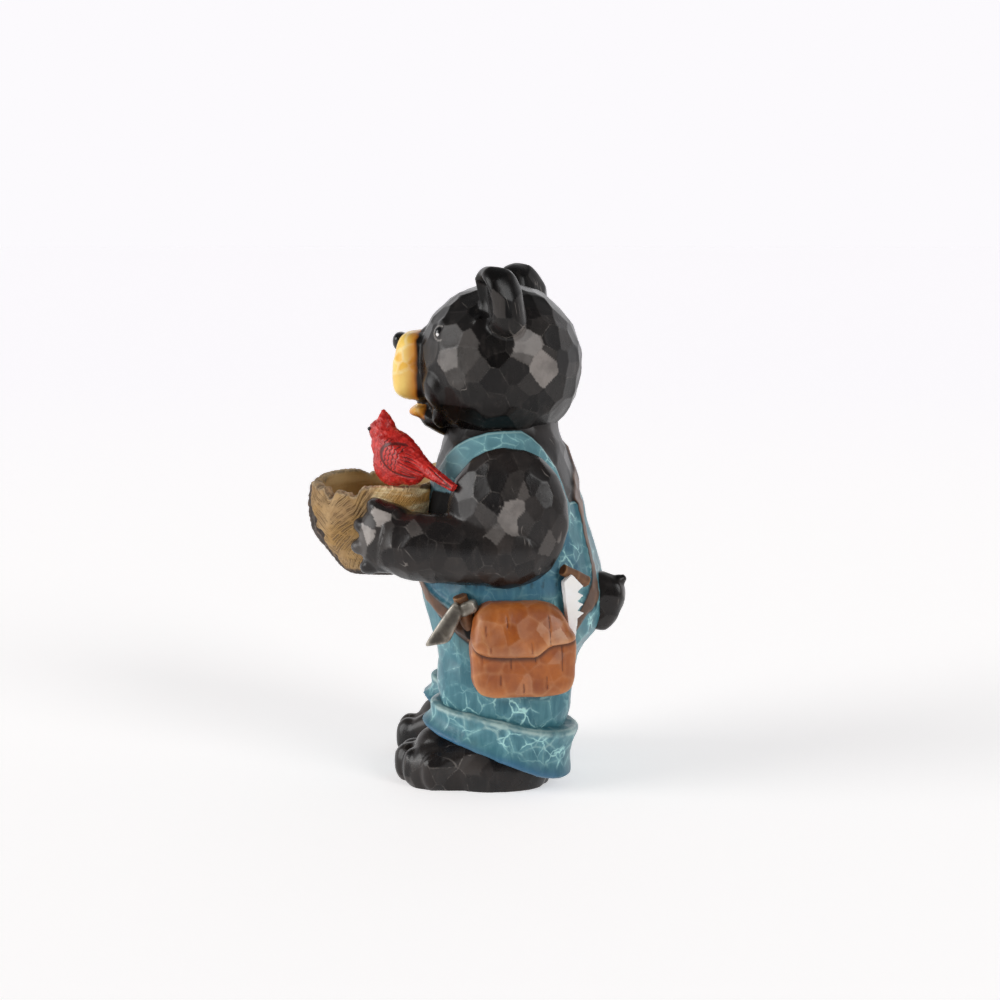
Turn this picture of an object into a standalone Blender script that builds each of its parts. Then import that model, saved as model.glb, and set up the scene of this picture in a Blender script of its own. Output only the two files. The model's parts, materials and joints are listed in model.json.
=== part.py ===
"""Bear bird bath statue: a carved bear in overalls holds a hollow stump bowl against its belly, and a
cardinal perches on the rim.

Metres, +Z up. The bear faces -Y and its left side is +X. The origin is on the floor, under the middle of
the whole statue. The bear's own forms are written in figure units, which are millimetres on a bear of 530,
counted from the floor and from the line of its spine.
"""

import math

import bmesh
import bpy
import numpy as np
from mathutils import Matrix, Vector, kdtree

# Driving sizes, in metres.
FIGURE_HEIGHT = 0.530
BOWL_WIDTH = 0.168
BOWL_DEPTH = 0.140
BOWL_HEIGHT = 0.098
BOWL_WALL = 0.011
BOWL_FLOOR = 0.012
BAG_WIDTH = 0.108
BAG_HEIGHT = 0.100
BAG_THICKNESS = 0.044
STRAP_WIDTH = 0.016
STRAP_THICKNESS = 0.0035
CLOTH_THICKNESS = 0.003
CARDINAL_HEIGHT = 0.078
FACET_WIDTH = 0.021
FACET_DEPTH = 0.0011
JOINT_GAP = 0.0003

# One figure unit, and the place of the spine's line on the floor.
U = FIGURE_HEIGHT / 530.0
SPINE = Vector((-2.2 * U, 32.0 * U, 0.0))

# The bowl's place: its rim is level with the bear's chest, and its back is let into the belly.
RIM_HEIGHT = 305.0 * U
BELLY_FRONT = -82.0 * U
BOWL_INSET = 24.0 * U
BOWL_CENTRE_Y = BELLY_FRONT + BOWL_INSET - BOWL_DEPTH / 2
BOWL_WRAP = 0.010
BOWL_ROUND = 3.4
RIM_TEAR = 0.013
RIM_CREST = 0.010
BARK_RELIEF = 0.0022
PERCH_TURN = math.radians(22.5)
HEADING_TURN = math.radians(-28.0)

# Triangles left on each organic form, and the grain of the voxel skin that fuses its lumps.
BEAR_TRIANGLES = 5250
CARDINAL_TRIANGLES = 1000
BEAR_SKIN = 2.4 * U
CARDINAL_SKIN = CARDINAL_HEIGHT / 70

# The right leg strides this far ahead of the left.
STRIDE = 23.0
LEG_X = 55.0

# Stations of the trunk: height, half width, front, back.
TORSO = (
    (62, 52, -32, 46),
    (72, 68, -44, 58),
    (90, 84, -54, 71),
    (106, 92, -58, 74),
    (121, 98, -58, 77),
    (136, 101, -60, 85),
    (148, 103, -63, 95),
    (162, 104, -67, 102),
    (180, 103, -73, 105),
    (205, 101, -78, 103),
    (235, 98, -79, 95),
    (265, 94, -77, 86),
    (290, 90, -73, 80),
    (315, 82, -67, 74),
    (335, 72, -61, 68),
    (352, 60, -57, 62),
    (375, 46, -50, 58),
)

# Stations of the left trouser leg, counted from LEG_X.
LEG = (
    (28, 30, -30, 54),
    (50, 38, -38, 68),
    (75, 45, -48, 80),
    (100, 47, -54, 83),
    (125, 46, -54, 82),
    (150, 40, -44, 79),
)

# The turn-up of a trouser leg: middle along Y, height, tilt and half depth of its lower and upper edge.
CUFF_LOW = (5.3, 38.0, math.radians(20.0), 81.5)
CUFF_HIGH = (15.5, 76.5, math.radians(10.0), 76.5)
CUFF_HALF_WIDTH = 55.0

# Outer edge of a shoulder strap of the overalls, seen from the side: (y, z) from front to back.
SHOULDER_EDGE = ((-90, 285), (-62, 312), (-36, 344), (-6, 358), (20, 361), (56, 352), (75, 326), (95, 285))

# The bag's strap, from the right shoulder to the left hip: (x, z) down the front and down the back.
STRAP_FRONT = ((-66, 356), (-20, 296), (20, 246), (46, 216), (64, 201), (80, 189), (94, 177), (104, 163))
STRAP_BACK = (
    (-66, 356),
    (-40, 338),
    (-10, 308),
    (14, 282),
    (25, 250),
    (30, 222),
    (38, 202),
    (54, 189),
    (72, 172),
    (104, 150),
)

# The hands close on the bowl's two ends. Each finger has its place along Y, height, half girth and tilt.
HAND_X = BOWL_WIDTH / 2 / U + 11.0
FINGERS = ((-103, 285, 9.5, 28), (-115, 267, 9.5, 10), (-118, 248, 9.5, -4), (-110, 230, 9.5, -20))

# The toes from the inner one out: place along X, tip along Y and half girth.
TOES = ((42, -98, 12.5), (59, -99, 13.5), (76, -87, 13.5), (91, -64, 12.5))

# The bag's middle and underside, in figure units, and its turn about Z in degrees. Its tools stand beside it.
BAG_X = 102.0
BAG_Y = 41.0
BAG_BOTTOM = 104.0
BAG_TURN = 18.0
BAG_TOP = BAG_BOTTOM + BAG_HEIGHT / U
BAG_FRONT = BAG_Y - BAG_WIDTH / U / 2
BAG_BACK = BAG_Y + BAG_WIDTH / U / 2


def clear_scene():
    for obj in list(bpy.data.objects):
        bpy.data.objects.remove(obj, do_unlink=True)


def collection(name):
    made = bpy.data.collections.new(name)
    bpy.context.scene.collection.children.link(made)
    return made


def material(name, colour, roughness):
    made = bpy.data.materials.new(name)
    made.use_nodes = True
    shader = made.node_tree.nodes["Principled BSDF"]
    shader.inputs["Base Color"].default_value = (*colour, 1.0)
    shader.inputs["Roughness"].default_value = roughness
    shader.inputs["Metallic"].default_value = 0.0
    return made


def smooth_between(knots, values, at):
    """Values read from a smooth curve through the knots: a cubic whose slope at each knot is the mean of the
    slopes on its two sides."""
    knots = np.asarray(knots, float)
    values = np.asarray(values, float)
    slopes = np.gradient(values, knots, axis=0)
    at = np.clip(at, knots[0], knots[-1])
    index = np.clip(np.searchsorted(knots, at) - 1, 0, len(knots) - 2)
    width = knots[index + 1] - knots[index]
    t = (at - knots[index]) / width
    if values.ndim > 1:
        t, width = t[:, None], width[:, None]
    start, end = values[index], values[index + 1]
    rise, fall = slopes[index] * width, slopes[index + 1] * width
    return (
        (2 * t**3 - 3 * t**2 + 1) * start
        + (t**3 - 2 * t**2 + t) * rise
        + (3 * t**2 - 2 * t**3) * end
        + (t**3 - t**2) * fall
    )


def step(value, softness):
    """0 below nought, 1 above softness, and a smooth rise between."""
    t = np.clip(value / softness, 0.0, 1.0)
    return t * t * (3 - 2 * t)


def unit_ball(around, up):
    """The points and faces of Blender's own sphere, kept to be shaped into lumps."""
    sphere = bmesh.new()
    bmesh.ops.create_uvsphere(sphere, u_segments=around, v_segments=up, radius=1.0)
    points = np.array([vert.co for vert in sphere.verts])
    faces = [tuple(vert.index for vert in face.verts) for face in sphere.faces]
    sphere.free()
    return points, faces


def unit_block(rounding):
    """The points and faces of Blender's own cube, from -1 to 1, with its edges bevelled."""
    cube = bmesh.new()
    bmesh.ops.create_cube(cube, size=2.0)
    bmesh.ops.bevel(cube, geom=cube.edges, offset=rounding, segments=2, profile=0.5, affect="EDGES")
    points = np.array([vert.co for vert in cube.verts])
    faces = [tuple(vert.index for vert in face.verts) for face in cube.faces]
    cube.free()
    return points, faces


FINE_BALL = unit_ball(40, 24)
COARSE_BALL = unit_ball(18, 10)


def ball(form, centre, radii, power=2.0, turn=(0.0, 0.0, 0.0), shape=None, made_from=FINE_BALL):
    """Adds a ball pushed out towards a box as its power grows past 2. shape changes its points while they
    still fill a unit ball."""
    points, faces = made_from
    points = points / (np.abs(points) ** power).sum(axis=1, keepdims=True) ** (1 / power)
    place(form, shape(points) if shape else points, faces, centre, radii, turn)


def place(form, points, faces, centre, radii, turn):
    """Adds points that fill a box from -1 to 1, scaled, turned in degrees about X, Y and Z, and moved."""
    turned = Matrix.Rotation(math.radians(turn[2]), 3, "Z")
    turned = turned @ Matrix.Rotation(math.radians(turn[1]), 3, "Y")
    turned = turned @ Matrix.Rotation(math.radians(turn[0]), 3, "X")
    form.append(((points * np.asarray(radii)) @ np.array(turned).T + np.asarray(centre), faces))


def skin_rings(form, rings):
    """Adds a closed tube through rows of points, shaped (rings, points, 3), with a fan at each end."""
    rings = np.asarray(rings)
    count, around = rings.shape[:2]
    ends = [rings[0].mean(axis=0)[None], rings[-1].mean(axis=0)[None]]
    points = np.concatenate([rings.reshape(-1, 3), *ends])
    first, last = count * around, count * around + 1
    starts = range(0, (count - 1) * around, around)
    faces = []
    for i in range(around):
        j = (i + 1) % around
        faces += [(k + i, k + j, k + around + j, k + around + i) for k in starts]
        faces += [(j, i, first), (first - around + i, first - around + j, last)]
    form.append((points, faces))


def mesh_of_curve(data):
    """A curve's mesh with its end caps welded on."""
    obj = bpy.data.objects.new("guide", data)
    bpy.context.scene.collection.objects.link(obj)
    bpy.context.view_layer.update()
    mesh = bpy.data.meshes.new_from_object(obj.evaluated_get(bpy.context.evaluated_depsgraph_get()))
    welded = bmesh.new()
    welded.from_mesh(mesh)
    bmesh.ops.remove_doubles(welded, verts=welded.verts, dist=0.001)
    points = np.array([vert.co for vert in welded.verts])
    faces = [tuple(vert.index for vert in face.verts) for face in welded.faces]
    welded.free()
    bpy.data.objects.remove(obj, do_unlink=True)
    bpy.data.meshes.remove(mesh)
    return points, faces


def limb(form, points, radii, sides=8):
    """Adds a round limb: a curve through the points, whose bevel has each point's radius."""
    data = bpy.data.curves.new("limb", "CURVE")
    data.dimensions = "3D"
    data.bevel_depth = 1.0
    data.bevel_resolution = sides
    data.resolution_u = 8
    data.use_fill_caps = True
    spline = data.splines.new("BEZIER")
    spline.bezier_points.add(len(points) - 1)
    for knot, point, radius in zip(spline.bezier_points, points, radii):
        knot.co = point
        knot.radius = radius
        knot.handle_left_type = "AUTO"
        knot.handle_right_type = "AUTO"
    form.append(mesh_of_curve(data))


def oval(half_width, front, back, height, sides=96, roundness=2.3):
    """A level ring of points: an oval a little fuller than an ellipse."""
    turn = np.linspace(0, 2 * math.pi, sides, endpoint=False)
    reach = (np.abs(np.cos(turn)) ** roundness + np.abs(np.sin(turn)) ** roundness) ** (-1 / roundness)
    x = half_width * reach * np.cos(turn)
    y = (front + back) / 2 + (back - front) / 2 * reach * np.sin(turn)
    return np.stack([x, y, np.full(sides, height)], axis=1)


def torso_form(form):
    """The trunk, a loft through its stations. The overalls and the bag's strap stand proud of it."""
    table = np.array(TORSO, float)
    heights = np.linspace(table[0, 0], table[-1, 0], 120)
    rows = smooth_between(table[:, 0], table[:, 1:], heights)
    rings = np.array([oval(w, f, b, z) for (w, f, b), z in zip(rows, heights)])
    middle = rings.mean(axis=1, keepdims=True)
    outward = (rings - middle) * (1, 1, 0)
    outward /= np.linalg.norm(outward, axis=2, keepdims=True)
    x, y, z = rings[..., 0], rings[..., 1], rings[..., 2]
    proud = CLOTH_THICKNESS / U * step(overalls(x, y, z), 2.0)
    proud += STRAP_THICKNESS / U * step(bag_strap(x, y, z), 2.0)
    skin_rings(form, rings + outward * proud[..., None])


def overalls(x, y, z):
    """How far inside the edge of the overalls a point of the trunk lies, below nought where there is fur.
    They end at the shoulder straps, and between the straps at the bib."""
    edge = np.array(SHOULDER_EDGE, float)
    below_straps = smooth_between(edge[:, 0], edge[:, 1], y) - z
    beside_neck = np.abs(x) - (36 + 0.2 * (z - 290))
    below_bib = 288 - z
    return np.minimum(below_straps, np.maximum(beside_neck, below_bib))


def bag_strap(x, y, z):
    """How far inside the edges of the bag's strap a point of the trunk lies."""
    across = np.full(x.shape, np.inf)
    for path, there in ((STRAP_FRONT, y < 0), (STRAP_BACK, y >= 0)):
        knots = np.array(path, float)
        run = np.clip(x, knots[0, 0], knots[-1, 0])
        height = smooth_between(knots[:, 0], knots[:, 1], run.ravel()).reshape(x.shape)
        slope = np.interp(run, knots[:, 0], np.gradient(knots[:, 1], knots[:, 0]))
        away = np.hypot(np.abs(z - height) / np.hypot(1, slope), x - run)
        across = np.where(there, away, across)
    return STRAP_WIDTH / U / 2 - across


def leg_form(form, side):
    """A trouser leg. The right one strides forward."""
    table = np.array(LEG, float)
    heights = np.linspace(table[0, 0], table[-1, 0], 30)
    rows = smooth_between(table[:, 0], table[:, 1:], heights)
    ahead = STRIDE * (side < 0) * step(150 - heights, 60)
    rings = [oval(w, f, b, z) + (side * LEG_X, -a, 0) for (w, f, b), z, a in zip(rows, heights, ahead)]
    skin_rings(form, rings)


def cuff_form(form, side):
    """A rolled turn-up: a band between two tilted ovals, pinched between its edges, which are rounded."""
    low, high = np.array(CUFF_LOW), np.array(CUFF_HIGH)
    ahead = STRIDE * (side < 0)
    rings = []
    for t in np.linspace(0, 1, 17):
        middle_y, middle_z, tilt, half_depth = low + (high - low) * t
        pinch = 4.5 * math.sin(math.pi * t) ** 2
        rolled = 4.0 * (max(0, 0.08 - t) / 0.08 + max(0, t - 0.92) / 0.08)
        reach = half_depth - pinch - rolled
        ring = oval(CUFF_HALF_WIDTH - pinch - rolled, -reach, reach, 0)
        turned = ring @ np.array(Matrix.Rotation(-tilt, 3, "X")).T
        rings.append(turned + (side * LEG_X, middle_y - ahead, middle_z))
    skin_rings(form, rings)


def foot_form(form, side):
    """A broad foot, toes turned out, with four toes. Its sole is cut flat afterwards."""
    ahead = STRIDE * (side < 0)
    turn = (0, 0, side * 17)
    ball(form, (side * 58, -12 - ahead, 15), (33, 74, 42), 2.4, turn)
    ball(form, (side * 60, 8 - ahead, 18), (37, 52, 36), 2.3, turn)
    ball(form, (side * 58, -34 - ahead, 28), (30, 46, 34), 2.2, (-8, 0, side * 17))
    for x, tip, girth in TOES:
        knuckle = (side * (x - 5), tip + 38 - ahead, 33)
        nail = (side * x, tip + 15 - ahead, 21)
        instep = (side * (x - 14), tip + 74 - ahead, 42)
        limb(form, [instep, knuckle, nail], [girth, girth + 1.5, girth - 0.5])
        ball(form, (side * x, tip + 15 - ahead, 18), (girth, 16, 21), 2.3, turn)


def arm_form(form, side):
    """An upper arm that hangs from the shoulder, a forearm reaching forward, and a hand on the bowl. The
    right shoulder is slimmer and held a little further forward."""
    ball(form, (side * 89, 19.5 + 3.5 * side, 278), (33, 58 + 3 * side, 70), 2.1)
    ball(form, (side * 93, 20, 247), (36, 48, 39), 2.1)
    reach = [(side * 94, 24, 247), (side * 96, -20, 247), (side * 97, -70, 249), (side * HAND_X, -96, 254)]
    limb(form, reach, [36, 36, 34, 31])
    ball(form, (side * HAND_X, -96, 256), (25, 29, 36), 2.3)
    for y, z, girth, tilt in FINGERS:
        ball(form, (side * (HAND_X + 1), y, z), (15, 16, girth), 2.3, (-tilt, 0, side * 10))


def head_form(form):
    """The round head with its brows, muzzle, nose, lower lip, chin, jowls and eyes."""
    ball(form, (0, 0, 424), (84, 84, 83), 2.05)
    ball(form, (0, 0, 385), (68, 64, 34), 2.0)
    ball(form, (0, -83, 421.5), (37, 25.5, 36.5), 3.6, (-4, 0, 0))
    ball(form, (0, -61, 442), (33, 28, 26))
    ball(form, (0, -103.5, 445.5), (14, 8, 10), 2.2)
    ball(form, (0, -78, 375), (24, 18, 8), 2.3, (4, 0, 0))
    ball(form, (0, -62, 364), (28, 27, 13), 2.0, (-32, 0, 0))
    for side in (-1, 1):
        ball(form, (side * 46, -45, 463), (14, 11, 12), 2.0, (-30, 0, side * 28))
        ball(form, (side * 44, -50, 404), (24, 22, 26))
        ball(form, (side * 34, -52, 376), (13, 13, 17))
        ball(form, (side * 53, -50.5, 457.5), (6.5, 6.5, 6.5))


def scooped(points):
    """A unit ball with a hollow on the side that looks along +X."""
    depth = step(points[:, 0], 0.4) * step(0.76 - np.hypot(points[:, 1], points[:, 2] - 0.05), 0.36)
    points = points.copy()
    points[:, 0] -= 0.5 * depth
    return points


def ear_form(form, side):
    """A rounded ear, hollowed on the side that looks forward and outward. Its top leans forward."""
    turn = -60 if side > 0 else -120

    def shape(points):
        return scooped(points) + 0.2 * points[:, 2:] * (1.42, -0.62 * side, 0)

    ball(form, (side * 68, 12.5, 489), (22, 28, 36), 2.5, (0, 0, turn), shape)
    ball(form, (side * 60, -10, 466), (12, 10, 12))


def tail_form(form):
    """A short tail that turns up to a point."""
    ball(form, (0, 105, 181), (18, 23, 30), 3.0, (-20, 0, 0))
    limb(form, [(0, 112, 190), (0, 123, 201), (0, 131, 208)], [15, 9, 3])


def to_object(form, name, where, scale=1.0, offset=(0, 0, 0)):
    """A new object in a collection, from lumps in units of scale, moved by offset."""
    points, faces, start = [], [], 0
    for lump, lump_faces in form:
        points.append(lump)
        faces += [tuple(start + index for index in face) for face in lump_faces]
        start += len(lump)
    mesh = bpy.data.meshes.new(name)
    mesh.from_pydata(np.concatenate(points), [], faces)
    mesh.transform(Matrix.Translation(offset) @ Matrix.Scale(scale, 4))
    checked = bmesh.new()
    checked.from_mesh(mesh)
    bmesh.ops.recalc_face_normals(checked, faces=checked.faces)
    checked.to_mesh(mesh)
    checked.free()
    obj = bpy.data.objects.new(name, mesh)
    where.objects.link(obj)
    return obj


def helper(obj):
    """A cutter or an added form: it takes part in a Boolean and isn't rendered."""
    obj.hide_render = True
    obj.display_type = "WIRE"
    return obj


def modify(obj, kind, **settings):
    modifier = obj.modifiers.new(kind.title(), kind)
    for key, value in settings.items():
        setattr(modifier, key, value)
    return modifier


def apply_modifiers(obj):
    """Replaces the object's mesh by what its modifiers make of it."""
    bpy.context.view_layer.update()
    graph = bpy.context.evaluated_depsgraph_get()
    mesh = bpy.data.meshes.new_from_object(obj.evaluated_get(graph))
    obj.modifiers.clear()
    obj.data = mesh


def points_of(mesh):
    points = np.empty(len(mesh.vertices) * 3)
    mesh.vertices.foreach_get("co", points)
    return points.reshape(-1, 3)


def set_points(mesh, points):
    mesh.vertices.foreach_set("co", points.ravel())
    mesh.update()


def fuse(obj, skin, smoothing):
    """One closed skin over all the lumps, its creases softened."""
    modify(obj, "REMESH", mode="VOXEL", voxel_size=skin)
    modify(obj, "SMOOTH", factor=0.5, iterations=smoothing)
    apply_modifiers(obj)


def tree_of(points):
    tree = kdtree.KDTree(len(points))
    for index, point in enumerate(points):
        tree.insert(point, index)
    tree.balance()
    return tree


def carve_facets(obj, width, depth, seed):
    """Knife cuts all over: each point belongs to the nearest of many cut centres, and is lowered by as much
    as a shallow dish round that centre is deep there. The dishes meet in ridges."""
    points = points_of(obj.data)
    normals = np.empty(points.size)
    obj.data.vertex_normals.foreach_get("vector", normals)
    everywhere = tree_of(points)
    taken = np.zeros(len(points), bool)
    centres = []
    for index in np.random.default_rng(seed).permutation(len(points)):
        if taken[index]:
            continue
        centres.append(points[index])
        taken[[near for _, near, _ in everywhere.find_range(points[index], width * 0.8)]] = True
    cuts = tree_of(centres)
    away = np.array([cuts.find(point)[2] for point in points])
    lowered = depth * (1 - np.minimum(away / (width * 0.62), 1) ** 2)
    set_points(obj.data, points - normals.reshape(-1, 3) * lowered[:, None])


def thin_out(obj, triangles):
    """Leaves about this many triangles, most of them where the form bends."""
    obj.data.calc_loop_triangles()
    modify(obj, "DECIMATE", ratio=triangles / len(obj.data.loop_triangles), use_collapse_triangulate=True)
    apply_modifiers(obj)


def combine(obj, other, operation):
    """Joins or cuts two closed meshes. The exact solver loses a skin that has been thinned out, because it
    may touch itself in a crease, and the manifold one keeps it."""
    modify(obj, "BOOLEAN", operation=operation, object=helper(other), solver="MANIFOLD")


def block(name, where, low, high):
    """A cube primitive between two corners, as a cutter."""
    form = bmesh.new()
    bmesh.ops.create_cube(form, size=1.0)
    bmesh.ops.scale(form, vec=Vector(high) - Vector(low), verts=form.verts)
    bmesh.ops.translate(form, vec=(Vector(low) + Vector(high)) / 2, verts=form.verts)
    mesh = bpy.data.meshes.new(name)
    form.to_mesh(mesh)
    form.free()
    obj = bpy.data.objects.new(name, mesh)
    where.objects.link(obj)
    return obj


def pouch_shape(points):
    """Wider above than below, like a filled bag."""
    shaped = points.copy()
    shaped[:, 1] *= 1 + 0.05 * points[:, 2]
    shaped[:, 0] *= 1 + 0.04 * points[:, 2]
    return shaped


def flap_shape(points):
    """Narrower and set back above. Its lower edge curls out, most at the corners, and is cut higher at the
    back."""
    shaped = points.copy()
    up = (points[:, 2] + 1) / 2
    curl = (1 - up) ** 3
    shaped[:, 0] += 0.18 * curl + 0.20 * curl * np.abs(points[:, 1]) ** 3 - 0.40 * up**2.5
    shaped[:, 1] *= 1 - 0.30 * up**1.5
    shaped[:, 1] -= 0.13 * up
    shaped[:, 2] *= 1 - 0.45 * (points[:, 2] < 0) * step(points[:, 1] - 0.1, 0.42)
    return shaped


def make_bag(where):
    """The shoulder bag on the left hip: a pouch, and a flap that hangs over its front."""
    half_width, tall, half_thick = BAG_WIDTH / U / 2, BAG_HEIGHT / U, BAG_THICKNESS / U / 2
    turn = (0, 0, BAG_TURN)
    pouch, flap = [], []
    low = (BAG_X, BAG_Y, BAG_BOTTOM + tall * 0.33)
    high = (BAG_X + 2, BAG_Y + 2, BAG_BOTTOM + tall * 0.68)
    ball(pouch, low, (half_thick * 0.88, half_width * 0.96, tall * 0.34), 5.0, turn, pouch_shape, COARSE_BALL)
    ball(flap, high, (half_thick, half_width, tall * 0.265), 4.5, turn, flap_shape, COARSE_BALL)
    return to_object(pouch, "pouch", where, U, SPINE), to_object(flap, "flap", where, U, SPINE)


def hammer_shape(points):
    """A blade that flares and thins towards its lower end, which is cut off at a slant."""
    shaped = points.copy()
    forward = (1 - points[:, 1]) / 2
    shaped[:, 1] -= 0.38 * forward * points[:, 2]
    shaped[:, 2] *= 0.68 + 0.32 * forward
    shaped[:, 0] *= 1.0 - 0.55 * forward
    return shaped


def make_hammer(where):
    """The hammer's blade and face in front of the bag, and the end of its handle behind them."""
    blade, face, handle = [], [], []
    points, faces = unit_block(0.22)
    y, z = BAG_FRONT - 19, BAG_TOP - 30
    place(blade, hammer_shape(points), faces, (BAG_X + 10, y, z), (9, 24, 10.5), (60, 0, 4))
    ball(face, (BAG_X + 8, y + 20, z + 17), (9, 9.5, 7), 4.0, (24, 0, 0), made_from=COARSE_BALL)
    stem = [(BAG_X - 6, y + 23, z - 16), (BAG_X, y + 16, z + 8), (BAG_X + 4, y + 10.5, z + 28)]
    limb(handle, stem, [8, 8, 7.5], 3)
    names = ("hammer_blade", "hammer_face", "hammer_handle")
    return [to_object(form, name, where, U, SPINE) for form, name in zip((blade, face, handle), names)]


def make_saw(where):
    """The saw's toothed blade, cut from a flat outline that ends in a tang inside the pouch, and its grip."""
    outline = [(-15, -38), (-9, -20), (-9, 22), (0, 28), (7, 20)]
    for tooth in range(4):
        top = 14 - 9 * tooth
        outline += [(12 - tooth, top), (4 - tooth, top - 5)]
    outline += [(2, -20), (-3, -38)]
    data = bpy.data.curves.new("blade", "CURVE")
    data.dimensions = "2D"
    data.fill_mode = "BOTH"
    data.extrude = 4.0
    spline = data.splines.new("POLY")
    spline.points.add(len(outline) - 1)
    for knot, (across, up) in zip(spline.points, outline):
        knot.co = (across, up, 0, 1)
    spline.use_cyclic_u = True
    points, faces = mesh_of_curve(data)
    x, y, z = BAG_X - 17, BAG_BACK - 7, BAG_TOP - 8
    stand = Matrix.Translation((x, y, z)) @ Matrix.Rotation(math.radians(125), 4, "Z")
    stand = stand @ Matrix.Rotation(math.radians(90), 4, "X") @ Matrix.Rotation(math.radians(6), 4, "Z")
    points = np.concatenate([points, np.ones((len(points), 1))], axis=1) @ np.array(stand).T
    blade = [(points[:, :3], faces)]
    grip = []
    limb(grip, [(x + 3, y - 10, z + 32), (x - 8, y + 2, z + 24), (x - 18, y + 11, z + 17)], [6, 6, 6], 2)
    return to_object(blade, "saw_blade", where, U, SPINE), to_object(grip, "saw_grip", where, U, SPINE)


def make_bear(parts, helpers, bowl_space):
    form = []
    torso_form(form)
    head_form(form)
    tail_form(form)
    for side in (-1, 1):
        leg_form(form, side)
        cuff_form(form, side)
        foot_form(form, side)
        arm_form(form, side)
        ear_form(form, side)
    bear = to_object(form, "bear", parts, U, SPINE)
    fuse(bear, BEAR_SKIN, 2)
    carve_facets(bear, FACET_WIDTH, FACET_DEPTH, 7)
    thin_out(bear, BEAR_TRIANGLES)
    for carried in (*make_bag(helpers), *make_hammer(helpers), *make_saw(helpers)):
        combine(bear, carried, "UNION")
    reach = FIGURE_HEIGHT
    combine(bear, block("floor_cutter", helpers, (-reach, -reach, -reach), (reach, reach, 0)), "DIFFERENCE")
    combine(bear, bowl_space, "DIFFERENCE")
    bear.data.materials.append(material("bear_black", (0.022, 0.020, 0.020), 0.38))


# The bowl's side from its foot to its rim: share of the height, and share of the full half depth there.
BOWL_SIDE = (
    (0.0, 0.42),
    (0.05, 0.52),
    (0.14, 0.62),
    (0.28, 0.76),
    (0.46, 0.93),
    (0.68, 0.99),
    (0.90, 0.985),
    (1.0, 0.96),
)

# Shares of the bowl's height at which its outer side has a ring of points, from the rim down.
OUTER_SHARES = np.array([1.0, 0.93, 0.84, 0.72, 0.58, 0.44, 0.31, 0.20, 0.11, 0.05, 0.0])


def bowl_side(share):
    """The outer half depth of the bowl at a share of its height: it swells from its foot like a cut log."""
    knots = np.array(BOWL_SIDE)
    return smooth_between(knots[:, 0], knots[:, 1], share) * BOWL_DEPTH / 2


def bowl_plan(turn):
    """How far the outer plan reaches in this direction from its middle: a rounded oblong."""
    wide = np.abs(np.cos(turn)) / (BOWL_WIDTH / 2)
    deep = np.abs(np.sin(turn)) / (BOWL_DEPTH / 2)
    return (wide**BOWL_ROUND + deep**BOWL_ROUND) ** (-1 / BOWL_ROUND)


def lathe(name, where, profile, sides=42):
    """Turns a profile of (radius, height) points round Z. It runs out from the axis and down the outside."""
    mesh = bpy.data.meshes.new(name)
    points = [(radius, 0.0, height) for radius, height in profile]
    mesh.from_pydata(points, [(i, i + 1) for i in range(len(points) - 1)], [])
    obj = bpy.data.objects.new(name, mesh)
    where.objects.link(obj)
    screw = {"angle": 2 * math.pi, "steps": sides, "render_steps": sides, "use_normal_calculate": False}
    modify(obj, "SCREW", use_merge_vertices=True, merge_threshold=0.00005, **screw)
    apply_modifiers(obj)
    return obj


def to_log_plan(points):
    """Turned points moved from a circle to the log's plan, and bent back round the belly at both sides."""
    turn = np.arctan2(points[:, 1], points[:, 0])
    stretch = bowl_plan(turn) / (BOWL_DEPTH / 2)
    x = points[:, 0] * stretch
    y = points[:, 1] * stretch + BOWL_WRAP * (points[:, 0] * stretch / (BOWL_WIDTH / 2)) ** 2
    return np.stack([x, y + BOWL_CENTRE_Y, points[:, 2]], axis=1) + np.array(SPINE), turn


def torn_rim(turn):
    """How far the rim is torn down, from 0 to 1: ragged along the split ends in front of the bird and on the
    far side, and level where the bird sits."""
    torn = 0
    for middle, half_width, depth in ((-22, 24, 1.0), (-75, 30, 0.45), (195, 26, 0.5)):
        away = np.abs((turn - math.radians(middle) + math.pi) % (2 * math.pi) - math.pi)
        torn = np.maximum(torn, depth * step(math.radians(half_width) - away, math.radians(16)))
    return torn * (0.6 + 0.25 * np.sin(turn * 23) + 0.15 * np.sin(turn * 37 + 1))


def rim_crest(turn):
    """How far the rim rises, from 0 to 1, towards the bear's right side at the back."""
    away = np.abs((turn - math.radians(135) + math.pi) % (2 * math.pi) - math.pi)
    return step(math.radians(38) - away, math.radians(34))


def log_carving(turn, share):
    """How deep the log's outer side is cut, from 0 to 1: upright bark furrows in front, behind and below, and
    slanting splits over the two broken ends."""
    furrows = 0.5 + 0.5 * np.sin(turn * 19 + 3 * np.sin(share * 5))
    splits = 0.5 + 0.5 * np.sin((share * 5 + np.abs(np.sin(turn * 2))) * 2 * math.pi)
    at_end = step(np.abs(np.cos(turn)) - 0.55, 0.3)
    return (furrows * (1 - at_end) + splits * at_end) * step(0.97 - share, 0.1)


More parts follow.
